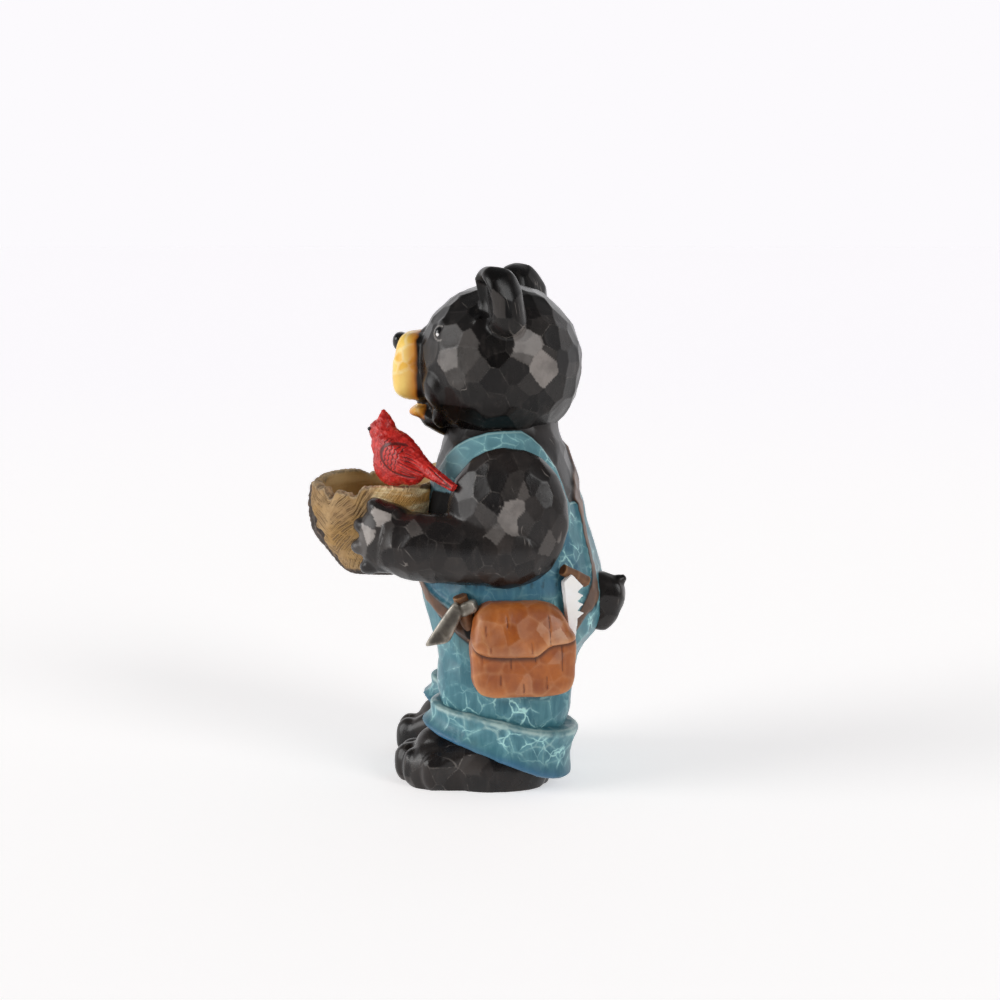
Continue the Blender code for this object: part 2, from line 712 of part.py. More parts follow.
def make_bowl(parts):
    """The hollow log: an outer side, a rim of the wall's thickness, an inner side and a floor."""
    bottom = RIM_HEIGHT - BOWL_HEIGHT
    inner_shares = np.linspace(BOWL_FLOOR / BOWL_HEIGHT, 1.0, 7)
    outer = list(zip(bowl_side(OUTER_SHARES), bottom + BOWL_HEIGHT * OUTER_SHARES))
    inner = list(zip(bowl_side(inner_shares) - BOWL_WALL, bottom + BOWL_HEIGHT * inner_shares))
    middle_of_floor = [(0.0, inner[0][1]), (inner[0][0] * 0.6, inner[0][1])]
    middle_below = [(outer[-1][0] * 0.5, bottom), (0.0, bottom)]
    bowl = lathe("stump_bowl", parts, [*middle_of_floor, *inner, *outer, *middle_below])
    points = points_of(bowl.data)
    placed, turn = to_log_plan(points)
    share = (points[:, 2] - bottom) / BOWL_HEIGHT
    outside = np.hypot(points[:, 0], points[:, 1]) > bowl_side(share) - BOWL_WALL / 2
    inward = np.stack([-np.cos(turn), -np.sin(turn), np.zeros(len(turn))], axis=1)
    placed += inward * (BARK_RELIEF * log_carving(turn, share) * outside)[:, None]
    placed[:, 2] += (RIM_CREST * rim_crest(turn) - RIM_TEAR * torn_rim(turn)) * step(share - 0.45, 0.55)
    set_points(bowl.data, placed)
    bowl.data.materials.append(material("split_wood", (0.42, 0.29, 0.14), 0.75))


def make_bowl_space(helpers):
    """The room that the bowl takes, hollow and all, grown by the joint's gap: it is cut from the bear. It
    doesn't narrow above its widest ring, so the raised part of the rim has room too."""
    bottom = RIM_HEIGHT - BOWL_HEIGHT
    radii = np.maximum.accumulate(bowl_side(OUTER_SHARES)[::-1])[::-1] + JOINT_GAP
    heights = bottom + BOWL_HEIGHT * OUTER_SHARES
    heights[0] += RIM_CREST + JOINT_GAP
    heights[-1] -= JOINT_GAP
    profile = [(0.0, heights[0]), *zip(radii, heights), (0.0, heights[-1])]
    space = lathe("bowl_space", helpers, profile)
    set_points(space.data, to_log_plan(points_of(space.data))[0])
    return space


def make_cardinal(parts, helpers):
    """The bird, in its own frame: x across, y towards the tail, z up from its perch, in bird units, which are
    millimetres on a bird of 78."""
    unit = CARDINAL_HEIGHT / 78
    form = []
    ball(form, (0, 2, 30), (17, 34, 22), 2.0, (-40, 0, 0))
    ball(form, (0, -7, 24), (16, 24, 24), 2.0, (-25, 0, 0))
    ball(form, (0, -15, 42), (14, 18, 19), 2.0, (-30, 0, 0))
    ball(form, (0, -21, 54), (13, 15, 13), 2.0, (-10, 0, 0))
    limb(form, [(0, -19, 56), (0, -19, 66), (0, -21, 76)], [13, 8, 1.4])
    limb(form, [(0, -31, 57), (0, -36, 56), (0, -39.5, 55)], [5.5, 3.5, 1.2])
    limb(form, [(0, 18, 28), (0, 42, 17), (0, 71, 4)], [12, 7.0, 4.2])
    for side in (-1, 1):
        ball(form, (side * 12.5, 0, 33), (6.5, 23, 14), 2.2, (-34, 0, side * -4))
        limb(form, [(side * 13, 10, 27), (side * 11, 24, 20), (side * 7, 38, 15)], [7, 5, 2])
    perch = np.array([[math.cos(PERCH_TURN), math.sin(PERCH_TURN), 0.0]]) * (BOWL_DEPTH / 2 - BOWL_WALL / 2)
    place = Vector(to_log_plan(perch)[0][0]) + Vector((0.0, 0.0, RIM_HEIGHT))
    cardinal = to_object(form, "cardinal", parts, unit)
    cardinal.data.transform(Matrix.Translation(place) @ Matrix.Rotation(HEADING_TURN, 4, "Z"))
    fuse(cardinal, CARDINAL_SKIN, 2)
    thin_out(cardinal, CARDINAL_TRIANGLES)
    reach = Vector((31, 31, 0)) * unit
    below = Vector((0, 0, 31)) * unit
    seat = block("seat_cutter", helpers, place - reach - below, place + reach + Vector((0, 0, JOINT_GAP)))
    combine(cardinal, seat, "DIFFERENCE")
    cardinal.data.materials.append(material("cardinal_red", (0.55, 0.015, 0.012), 0.45))


def main():
    clear_scene()
    parts = collection("bear_bird_bath")
    helpers = collection("helpers")
    make_bowl(parts)
    make_bear(parts, helpers, make_bowl_space(helpers))
    make_cardinal(parts, helpers)


main()
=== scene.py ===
# %% [markdown]
# # A carved bear with a bird bath
# The statue is cast in resin from a knife-carved model and painted by hand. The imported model, called the
# frame here, already has its true size and pose. Loading it first gives every later cell something to
# measure against, and nothing in it is moved.

# %% Load the frame
import json
import math

import bpy
import numpy as np
from mathutils import Euler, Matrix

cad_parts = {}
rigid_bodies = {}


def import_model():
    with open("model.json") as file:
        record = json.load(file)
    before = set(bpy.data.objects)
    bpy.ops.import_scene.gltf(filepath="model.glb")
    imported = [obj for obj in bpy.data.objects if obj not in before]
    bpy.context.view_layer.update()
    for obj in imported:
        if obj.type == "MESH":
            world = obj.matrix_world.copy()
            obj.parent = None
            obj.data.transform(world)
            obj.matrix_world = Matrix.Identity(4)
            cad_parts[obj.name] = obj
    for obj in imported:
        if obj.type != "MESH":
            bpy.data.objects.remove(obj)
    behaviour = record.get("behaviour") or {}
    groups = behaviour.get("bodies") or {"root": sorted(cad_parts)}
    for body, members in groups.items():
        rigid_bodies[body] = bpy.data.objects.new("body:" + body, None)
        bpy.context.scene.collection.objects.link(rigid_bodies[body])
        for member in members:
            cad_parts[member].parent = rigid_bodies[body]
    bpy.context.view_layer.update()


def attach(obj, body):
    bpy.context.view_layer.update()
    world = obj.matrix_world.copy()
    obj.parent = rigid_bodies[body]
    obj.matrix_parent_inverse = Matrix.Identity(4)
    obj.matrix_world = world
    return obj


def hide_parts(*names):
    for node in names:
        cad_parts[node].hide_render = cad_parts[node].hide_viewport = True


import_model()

# %% [markdown]
# ## Units
# The figure's forms are easiest to think of in millimetres on a bear 530 mm tall, counted from the floor and
# from the line of its spine. One scale and one offset turn them into the frame's metres.

# %% Figure units
FIGURE_HEIGHT = 0.530
U = FIGURE_HEIGHT / 530
SPINE = np.array([-2.2, 32.0, 0.0])


def in_metres(points):
    """Figure units to the frame's metres: (point + spine) times the unit."""
    return (points + SPINE) * U


def in_units(points):
    """The frame's metres back to figure units."""
    return points / U - SPINE


# %% [markdown]
# ## Small functions on whole arrays
# Two curves do most of the shaping: a cubic through a few stations, and a smooth rise from 0 to 1. A few sine
# waves in random directions add up to the unevenness of handwork, and cost far less than a noise library.


# %% Curves and unevenness
def smooth_between(knots, values, at):
    """A cubic through the knots. Its slope at a knot is the mean of the slopes on both sides of it."""
    knots = np.asarray(knots, float)
    values = np.asarray(values, float)
    slopes = np.gradient(values, knots, axis=0)
    at = np.clip(at, knots[0], knots[-1])
    index = np.clip(np.searchsorted(knots, at) - 1, 0, len(knots) - 2)
    width = knots[index + 1] - knots[index]
    t = (at - knots[index]) / width
    if values.ndim > 1:
        t, width = t[..., None], width[..., None]
    start, end = values[index], values[index + 1]
    out, into = slopes[index] * width, slopes[index + 1] * width
    turn_in, turn_out = 3 * t**2 - 2 * t**3, t**3 - 2 * t**2 + t
    return start * (1 - turn_in) + end * turn_in + out * turn_out + into * (t**3 - t**2)


def rise(value, softness):
    """0 below nought, 1 above softness, and 3t² - 2t³ between."""
    t = np.clip(value / softness, 0.0, 1.0)
    return t * t * (3 - 2 * t)


def ripple(points, length, seed, waves=14):
    """Smooth noise, mostly between -1 and 1: the scaled sum of sin(k · p + phase) over waves of about this
    length in random directions."""
    rng = np.random.default_rng(seed)
    ways = rng.normal(size=(waves, 3))
    ways /= np.linalg.norm(ways, axis=1, keepdims=True)
    ways *= 2 * math.pi / length * rng.uniform(0.7, 1.4, (waves, 1))
    phases = rng.uniform(0, 2 * math.pi, waves)
    return np.sin(points @ ways.T + phases).sum(axis=-1) * 0.6 / math.sqrt(waves / 2)


def turned(points, degrees):
    """Points turned by so many degrees about X, then Y, then Z."""
    angles = Euler([math.radians(angle) for angle in degrees], "XYZ")
    return points @ np.array(angles.to_matrix()).T


print("a rise of 0.3 over 1 gives", rise(np.array([0.3]), 1.0).round(3))

# %% [markdown]
# ## Surfaces as grids
# A carver starts from simple masses. Here each mass is a grid of rings: a ball pushed out towards a box, or a
# round section carried along a smooth path. Sewing joins any number of such grids into one list of faces.


# %% Masses
# A ball's rings end just short of its poles, counted in half turns, and a fan of triangles closes each end.
NEAR_POLE = 0.498


def ball(centre, radii, power=2.0, turn=(0, 0, 0), shape=None, rings=44, around=64):
    """Directions (cos u cos v, cos u sin v, sin u), pushed out to |x|^p + |y|^p + |z|^p = 1, then shaped,
    scaled by the radii, turned and moved. Power 2 gives an ellipsoid, and a higher one a rounded box."""
    u = np.linspace(-NEAR_POLE, NEAR_POLE, rings)[:, None] * math.pi
    v = np.linspace(0, 2 * math.pi, around, endpoint=False)[None]
    unit = np.stack([np.cos(u) * np.cos(v), np.cos(u) * np.sin(v), np.sin(u) + 0 * v], axis=-1)
    unit /= (np.abs(unit) ** power).sum(axis=-1, keepdims=True) ** (1 / power)
    if shape:
        unit = shape(unit)
    return turned(unit * np.asarray(radii, float), turn) + np.asarray(centre, float)


def limb(path, radii, rings=48, around=40):
    """A circle carried along a smooth path: path(s) + r(s) (n cos a + b sin a), with n and b square to it."""
    path = np.asarray(path, float)
    run = np.concatenate([[0], np.cumsum(np.linalg.norm(np.diff(path, axis=0), axis=1))])
    s = np.linspace(0, run[-1], rings)
    middle = smooth_between(run, path, s)
    radius = smooth_between(run, radii, s)[:, None, None]
    along = np.gradient(middle, axis=0)
    along /= np.linalg.norm(along, axis=1, keepdims=True)
    least = np.eye(3)[np.argmin(np.abs(path[-1] - path[0]))]
    n = np.cross(least, along)
    n /= np.linalg.norm(n, axis=1, keepdims=True)
    b = np.cross(along, n)
    a = np.linspace(0, 2 * math.pi, around, endpoint=False)[None, :, None]
    return middle[:, None] + radius * (np.cos(a) * n[:, None] + np.sin(a) * b[:, None])


def oval(half_width, front, back, around, roundness=2.3):
    """A level ring, fuller than an ellipse: |x/w|^r + |y/d|^r = 1 about the middle of its depth."""
    turn = np.linspace(0, 2 * math.pi, around, endpoint=False)
    reach = (np.abs(np.cos(turn)) ** roundness + np.abs(np.sin(turn)) ** roundness) ** (-1 / roundness)
    half_width, front, back = (np.asarray(value, float)[..., None] for value in (half_width, front, back))
    x = half_width * reach * np.cos(turn)
    y = (front + back) / 2 + (back - front) / 2 * reach * np.sin(turn)
    return np.stack([x, y, 0 * x], axis=-1)


def sew(grids):
    """Points and faces of closed tubes shaped (rings, around, 3), with a fan of triangles on each end."""
    points, faces, start = [], [], 0
    for rings in grids:
        count, around = rings.shape[:2]
        here = start + np.arange(count * around).reshape(count, around)
        beside = np.roll(here, -1, axis=1)
        quads = np.stack([here[:-1], beside[:-1], beside[1:], here[1:]], axis=-1)
        low, high = start + count * around, start + count * around + 1
        below = np.stack([beside[0], here[0], np.full(around, low)], axis=-1)
        above = np.stack([here[-1], beside[-1], np.full(around, high)], axis=-1)
        points += [rings.reshape(-1, 3), rings[:1].mean(axis=1), rings[-1:].mean(axis=1)]
        faces += quads.reshape(-1, 4).tolist() + below.tolist() + above.tolist()
        start = high + 1
    return np.concatenate(points), faces


def add_object(name, points, faces):
    """An object at the origin whose mesh is already in the frame's metres."""
    mesh = bpy.data.meshes.new(name)
    mesh.from_pydata(points, [], faces)
    mesh.validate()
    made = bpy.data.objects.new(name, mesh)
    bpy.context.scene.collection.objects.link(made)
    return made


print("a ball is a grid of", ball((0, 0, 0), (1, 1, 1)).shape)

# %% [markdown]
# ## One skin over many masses
# The masses only overlap. Blender's voxel remesh lays one closed, even skin over them, and a little smoothing
# takes its steps out. Booleans would join them too, but they leave hard seams and long thin faces, which take
# no knife cuts.


# %% Skin
def apply_modifiers(made):
    """Puts what the modifiers give into the object's own mesh."""
    bpy.context.view_layer.update()
    graph = bpy.context.evaluated_depsgraph_get()
    mesh = bpy.data.meshes.new_from_object(made.evaluated_get(graph))
    made.modifiers.clear()
    made.data = mesh


def skin(name, grids, grain, softening=3):
    """One closed skin over the grids, with faces about as wide as the grain."""
    points, faces = sew(grids)
    made = add_object(name, in_metres(points), faces)
    remesh = made.modifiers.new("Skin", "REMESH")
    remesh.mode = "VOXEL"
    remesh.voxel_size = grain * U
    smooth = made.modifiers.new("Soften", "SMOOTH")
    smooth.factor = 0.5
    smooth.iterations = softening
    apply_modifiers(made)
    return made


def read_points(made):
    """The mesh's points, in figure units."""
    flat = np.empty(len(made.data.vertices) * 3, np.float32)
    made.data.vertices.foreach_get("co", flat)
    return in_units(flat.reshape(-1, 3).astype(float))


def read_normals(made):
    """The direction that the surface faces at each point, one unit long."""
    flat = np.empty(len(made.data.vertices) * 3, np.float32)
    made.data.vertices.foreach_get("normal", flat)
    return flat.reshape(-1, 3).astype(float)


def write_points(made, points):
    """Puts points in figure units into the mesh, in metres."""
    made.data.vertices.foreach_set("co", in_metres(points).astype(np.float32).ravel())
    made.data.update()


def write_values(made, name, values):
    """Keeps one number for each point, which a material can read by its name."""
    kept = made.data.attributes.new(name, "FLOAT", "POINT")
    kept.data.foreach_set("value", np.asarray(values, np.float32))


print("a grain of 1 is", round(1000 * U, 3), "mm")

# %% [markdown]
# ## Knife cuts
# The surface is covered with shallow knife cuts that meet in ridges. Each cut is a dish with a random middle,
# depth and tilt, and the knife leaves the lowest dish at every point, so the ridges come by themselves where
# two dishes cross. Voronoi texture could only paint this, and it wouldn't catch the light in profile.


# %% Cuts
# Points are worked out so many at once, which keeps the arrays small. A point between dishes may rise by so
# many millimetres. The value edge reaches 1 where a point stands 1 / EDGE_GAIN mm above its neighbours.
POINTS_AT_ONCE = 20000
RAISED_AT_MOST = 0.2
EDGE_GAIN = 15


def scatter(points, spacing, seed, first=(), tries=9000):
    """Middles at least this far apart: the ones given first, then candidates in random order, each kept if
    none kept yet is near it."""
    rng = np.random.default_rng(seed)
    candidates = points[rng.permutation(len(points))[:tries]]
    open_still = np.ones(len(candidates), bool)
    kept = [np.asarray(middle, float) for middle in first]
    for middle in kept:
        open_still &= ((candidates - middle) ** 2).sum(axis=1) > spacing**2
    while open_still.any():
        chosen = candidates[np.argmax(open_still)]
        kept.append(chosen)
        open_still &= ((candidates - chosen) ** 2).sum(axis=1) > spacing**2
    return np.array(kept)


def knife_cuts(made, width, hollow, seed, tilt=0.05, deepest=1.5, wear_and_glint=(), rare=0.05, upright=1.0):
    """Lowers each point by the deepest dish there, the least over all cuts of
    h |p - c|² - depth + t · (p - c), eased off towards deepest by d tanh(least / d). Dishes are taller than
    wide by the number upright.
    Three values are kept at each point. ridge is how far the nearest ridge is, in millimetres. cut is a
    random number of the dish. shine is how much grey is painted on the dish: for the middles that are
    named, the value given with each, which is painted highlight and on some cuts worn paint as well;
    elsewhere up to rare, at random and mostly near nought."""
    points, normals = read_points(made), read_normals(made)
    lying = points * (1, 1, 1 / upright)
    middles = scatter(lying, width * 0.8, seed, [np.array(row[:3]) * (1, 1, 1 / upright) for row in wear_and_glint])
    rng = np.random.default_rng(seed + 1)
    depth = hollow * (width * 0.6) ** 2 * rng.uniform(0.7, 1.3, len(middles))
    tilts = rng.normal(size=middles.shape) * tilt
    slopes = tilts - 2 * hollow * middles
    level = hollow * (middles**2).sum(axis=1) - (tilts * middles).sum(axis=1) - depth
    marks = rng.random(len(middles))
    grey = rare * rng.random(len(middles)) ** 5
    # The named middles get their given grey: painted highlight, and on some cuts worn paint too.
    grey[: len(wear_and_glint)] = [row[3] for row in wear_and_glint]
    lowered, ridge, cut, shine = (np.empty(len(points)) for _ in range(4))
    for start in range(0, len(points), POINTS_AT_ONCE):
        part = slice(start, start + POINTS_AT_ONCE)
        heights = lying[part] @ slopes.T + level + hollow * (lying[part] ** 2).sum(axis=1, keepdims=True)
        two = np.argpartition(heights, 1, axis=1)[:, :2]
        first, second = np.take_along_axis(heights, two, axis=1).T
        lowered[part] = first
        ridge[part] = (second - first) / np.linalg.norm(slopes[two[:, 1]] - slopes[two[:, 0]], axis=1)
        cut[part] = marks[two[:, 0]]
        shine[part] = grey[two[:, 0]]
    lowered = np.minimum(deepest * np.tanh(lowered / deepest), RAISED_AT_MOST)
    write_points(made, points + normals * lowered[:, None])
    for name, values in (("ridge", ridge), ("cut", cut), ("shine", shine)):
        write_values(made, name, values)
    return len(middles)


def keep_edges(made, share=1.0, passes=3):
    """Keeps how sharply the surface bulges at each point as the value edge, from 0 to 1: the height of a
    point over the mean of its neighbours, spread by a few rounds of the same mean, times the share."""
    points, normals = read_points(made), read_normals(made)
    pairs = np.empty(len(made.data.edges) * 2, np.int32)
    made.data.edges.foreach_get("vertices", pairs)
    first, second = pairs.reshape(-1, 2).T
    count = np.bincount(pairs, minlength=len(points))[:, None]

    def around(values):
        """The sum of a point's neighbours over how many it has."""
        total = np.zeros_like(values)
        np.add.at(total, first, values[second])
        np.add.at(total, second, values[first])
        return total / count

    height = ((points - around(points)) * normals).sum(axis=1, keepdims=True)
    for _ in range(passes):
        height = around(height)
    write_values(made, "edge", np.clip(height[:, 0] * EDGE_GAIN, 0, 1) * share)


def count_faces(made):
    """How many triangles the mesh is drawn with."""
    made.data.calc_loop_triangles()
    return len(made.data.loop_triangles)


# %% [markdown]
# ## Nodes in few words
# A material is a graph, and it would fill pages if each node were written out. These helpers keep it readable
# as text: they add a node and link it, mix two colours, turn a range of values into a soft mask, and read a
# noise or a number kept on the points. A number that a piece doesn't have reads as 0.


# %% Node helpers
def add_node(tree, kind, inputs=None, **settings):
    """A node with its settings made and its inputs linked, or set where the value isn't a socket."""
    made = tree.nodes.new(kind)
    for key, value in settings.items():
        setattr(made, key, value)
    for key, value in (inputs or {}).items():
        if isinstance(value, bpy.types.NodeSocket):
            tree.links.new(value, made.inputs[key])
        else:
            made.inputs[key].default_value = value
    return made


def rgb(code):
    """A colour written as on a paint chart, turned into the linear values that light adds up in."""
    values = np.array([int(code[i : i + 2], 16) for i in (0, 2, 4)]) / 255
    linear = np.where(values <= 0.04045, values / 12.92, ((values + 0.055) / 1.055) ** 2.4)
    return (*linear.tolist(), 1.0)


def mix(tree, factor, first, second):
    """first (1 - factor) + second factor, for colours. A colour is a socket or a chart code."""
    first, second = (rgb(value) if isinstance(value, str) else value for value in (first, second))
    inputs = {"Factor": factor, 6: first, 7: second}
    return add_node(tree, "ShaderNodeMix", inputs, data_type="RGBA").outputs[2]


def mask(tree, value, low, high, start=0.0, end=1.0):
    """start below low, end above high, and a smooth change between."""
    inputs = {"Value": value, "From Min": low, "From Max": high, "To Min": start, "To Max": end}
    made = add_node(tree, "ShaderNodeMapRange", inputs, interpolation_type="SMOOTHSTEP")
    return made.outputs["Result"]


def calculate(tree, operation, first, second=0.0, third=0.0):
    """One sum, such as ADD or MAXIMUM, of numbers or sockets."""
    return add_node(tree, "ShaderNodeMath", {0: first, 1: second, 2: third}, operation=operation).outputs[0]


def times(tree, first, second):
    """first times second."""
    return calculate(tree, "MULTIPLY", first, second)


def kept(tree, name):
    """A number that knife_cuts or another cell kept at each point."""
    return add_node(tree, "ShaderNodeAttribute", attribute_name=name).outputs["Fac"]


def noise(tree, scale, detail=3.0, stretch=(1, 1, 1), roughness=0.55):
    """Blender's noise on the piece's own coordinates, drawn out along an axis by a stretch below 1 there."""
    place = add_node(tree, "ShaderNodeTexCoord").outputs["Object"]
    if stretch != (1, 1, 1):
        place = add_node(tree, "ShaderNodeMapping", {"Vector": place, "Scale": stretch}).outputs[0]
    inputs = {"Vector": place, "Scale": scale, "Detail": detail, "Roughness": roughness}
    return add_node(tree, "ShaderNodeTexNoise", inputs).outputs["Fac"]


def blotches(tree, scale, detail, low, high, start=0.0, end=1.0, **more):
    """start where the noise is below low, end where it is above high, and a smooth change between."""
    return mask(tree, noise(tree, scale, detail, **more), low, high, start, end)


print("the chart code 808080 gives", round(rgb("808080")[0], 4))

# %% [markdown]
# ## Effects that several paints share
# Ridges that a dry brush has caught, scratches in the varnish and the fine grain of a carved surface turn up
# on fur, cloth and leather alike. Each is a node group, built once and placed in each material with its own
# values.


# %% Shared effects
def make_group(name, inputs, outputs, build):
    """A shader node group with named sockets. build links the group's inputs to values for its outputs."""
    group = bpy.data.node_groups.new(name, "ShaderNodeTree")
    for label, value in inputs:
        made = group.interface.new_socket(label, in_out="INPUT", socket_type="NodeSocketFloat")
        made.default_value = value
    for label in outputs:
        group.interface.new_socket(label, in_out="OUTPUT", socket_type="NodeSocketFloat")
    entry = group.nodes.new("NodeGroupInput")
    leave = group.nodes.new("NodeGroupOutput")
    for label, value in build(group, entry.outputs).items():
        group.links.new(value, leave.inputs[label])
    return group


def build_brushed_ridges(tree, given):
    """1 on a ridge and 0 at the given width from it, broken up by noise, as a dry brush leaves it."""
    line = calculate(tree, "DIVIDE", given["Ridge"], given["Width"])
    line = mask(tree, line, 0.15, 1.0, 1.0, 0.0)
    broken = noise(tree, 45.0, 4.0, roughness=0.65)
    low = times(tree, given["Wear"], 0.8)
    catch = mask(tree, calculate(tree, "ADD", broken, low), 0.45, 0.85)
    return {"Mask": times(tree, line, catch)}


def build_scratches(tree, given):
    """Thin nicks: the places where a much stretched noise crosses its middle, kept only in a few patches."""
    lines = noise(tree, 130.0, 1.0, (1.0, 0.35, 0.09))
    off_middle = calculate(tree, "ABSOLUTE", calculate(tree, "SUBTRACT", lines, 0.5))
    thin = mask(tree, off_middle, 0.004, 0.012, 1.0, 0.0)
    value = times(tree, thin, blotches(tree, 38.0, 2.0, 0.60, 0.70))
    return {"Mask": times(tree, value, given["Amount"])}


def build_fine_grain(tree, given):
    """Height of a surface finished by knife and brush: broad strokes, and fine grit under them."""
    strokes = noise(tree, 260.0, 3.0, (1.0, 0.8, 0.25))
    grit = noise(tree, 900.0, 2.0)
    both = calculate(tree, "ADD", times(tree, strokes, 0.7), times(tree, grit, 0.3))
    return {"Height": times(tree, both, given["Strength"])}


def build_split_lines(tree, given):
    """Thin lines where the slant, moved a little by noise, passes a multiple of the spacing. They come and
    go."""
    uneven = times(tree, noise(tree, 28.0, 3.0), 6.0)
    moved = calculate(tree, "ADD", given["Slant"], uneven)
    near = calculate(tree, "PINGPONG", moved, times(tree, given["Spacing"], 0.5))
    line = mask(tree, calculate(tree, "DIVIDE", near, given["Width"]), 0.0, 1.0, 1.0, 0.0)
    come_and_go = blotches(tree, 95.0, 3.0, 0.38, 0.58)
    return {"Mask": times(tree, line, come_and_go)}


def build_fine_net(tree, given):
    """A net of thin lines between uneven cells, thicker in some places and missing in others."""
    place = add_node(tree, "ShaderNodeTexCoord").outputs["Object"]
    inputs = {"Vector": place, "Scale": 85.0, "Detail": 3.0}
    bent = add_node(tree, "ShaderNodeTexNoise", inputs).outputs["Color"]
    place = add_node(tree, "ShaderNodeMix", {0: 0.009, 4: place, 5: bent}, data_type="VECTOR").outputs[1]
    inputs = {"Vector": place, "Scale": given["Cells"]}
    cells = add_node(tree, "ShaderNodeTexVoronoi", inputs, feature="DISTANCE_TO_EDGE").outputs["Distance"]
    width = times(tree, given["Width"], given["Cells"])
    width = times(tree, width, blotches(tree, 110.0, 2.0, 0.35, 0.7, 0.5, 1.7))
    line = mask(tree, calculate(tree, "DIVIDE", cells, width), 0.2, 1.0, 1.0, 0.0)
    patches = blotches(tree, 36.0, 2.0, 0.47, 0.62, 0.0, 0.8)
    return {"Mask": times(tree, line, patches)}


brushed_ridges = make_group(
    "Brushed ridges", [("Ridge", 1.0), ("Width", 1.2), ("Wear", 0.2)], ["Mask"], build_brushed_ridges
)
fine_net = make_group("Fine net", [("Cells", 60.0), ("Width", 0.001)], ["Mask"], build_fine_net)
split_lines = make_group(
    "Split lines", [("Slant", 0.0), ("Spacing", 2.5), ("Width", 0.8)], ["Mask"], build_split_lines
)
scratches = make_group("Scratches", [("Amount", 1.0)], ["Mask"], build_scratches)
fine_grain = make_group("Fine grain", [("Strength", 1.0)], ["Height"], build_fine_grain)
print("groups:", [group.name for group in bpy.data.node_groups])


def effect(tree, group, inputs):
    """Places a group and gives its one output."""
    return add_node(tree, "ShaderNodeGroup", inputs, node_tree=group).outputs[0]


def caught_ridges(tree, width, wear):
    """The brushed ridges of a piece that knife_cuts has been over."""
    return effect(tree, brushed_ridges, {"Ridge": kept(tree, "ridge"), "Width": width, "Wear": wear})


def start_material(name):
    """A new material, its graph and its shader."""
    made = bpy.data.materials.new(name)
    made.use_nodes = True
    return made, made.node_tree, made.node_tree.nodes["Principled BSDF"]


def finish_material(tree, shader, colour, roughness, bump=0.0, specular=0.5, height=None):
    """Links the varying values to the shader. What is the same all over stays on the shader's own socket.
    A bump says how many metres a height of 1 stands for. The height is the fine grain, or the one given."""
    tree.links.new(colour, shader.inputs["Base Color"])
    if isinstance(roughness, bpy.types.NodeSocket):
        tree.links.new(roughness, shader.inputs["Roughness"])
    else:
        shader.inputs["Roughness"].default_value = roughness
    shader.inputs["Specular IOR Level"].default_value = specular
    if bump:
        if height is None:
            height = effect(tree, fine_grain, {"Strength": 1.0})
        made = add_node(tree, "ShaderNodeBump", {"Height": height, "Distance": bump, "Strength": 1.0})
        tree.links.new(made.outputs["Normal"], shader.inputs["Normal"])


# %% [markdown]
# ## Black fur paint
# The fur is near-black with a satin varnish. No two cuts have quite the same tone or gloss, and the brush has
# left grey on some ridges. A few cuts on the head and the left arm are painted grey as highlights. The tone
# of each cut comes from the number kept by the cutting step.


# %% Fur
def fur_colour(tree, dark="131111", light="302926"):
    """Dark and light, both nearly black, mixed by cut and by noise. Over them grey: strokes of the brush,
    painted highlights on the cuts that shine names, a few ridges, and nicks."""
    tone = times(tree, noise(tree, 24.0, 4.0), 0.8)
    tone = calculate(tree, "ADD", times(tree, kept(tree, "cut"), 0.2), tone)
    colour = mix(tree, mask(tree, tone, 0.3, 0.9), dark, light)
    strokes = blotches(tree, 150.0, 3.0, 0.5, 0.8, 0.0, 0.35, stretch=(1.0, 0.8, 0.25))
    colour = mix(tree, strokes, colour, "3f3936")
    # Painted highlight: grey on the cuts that shine names.
    patchy = blotches(tree, 55.0, 3.0, 0.25, 0.6, 0.7, 1.1)
    colour = mix(tree, times(tree, kept(tree, "shine"), patchy), colour, "b4aca6")
    few = blotches(tree, 16.0, 2.0, 0.50, 0.64, 0.05, 0.45)
    colour = mix(tree, times(tree, caught_ridges(tree, 0.9, 0.1), few), colour, "aaa29b")
    return mix(tree, effect(tree, scratches, {"Amount": 0.5}), colour, "8f8882")


def fur_roughness(tree):
    """0.24 to 0.34, by cut and by noise."""
    gloss = calculate(tree, "MULTIPLY_ADD", kept(tree, "cut"), 0.3, third=noise(tree, 60.0, 3.0))
    return mask(tree, gloss, 0.3, 1.0, 0.24, 0.34)


def make_fur():
    """The fur of the limbs and the tail."""
    made, tree, shader = start_material("black_fur_paint")
    finish_material(tree, shader, fur_colour(tree), fur_roughness(tree), 0.00012, 0.35)
    return made


black_fur_paint = make_fur()
print("nodes in the fur's paint:", len(black_fur_paint.node_tree.nodes))
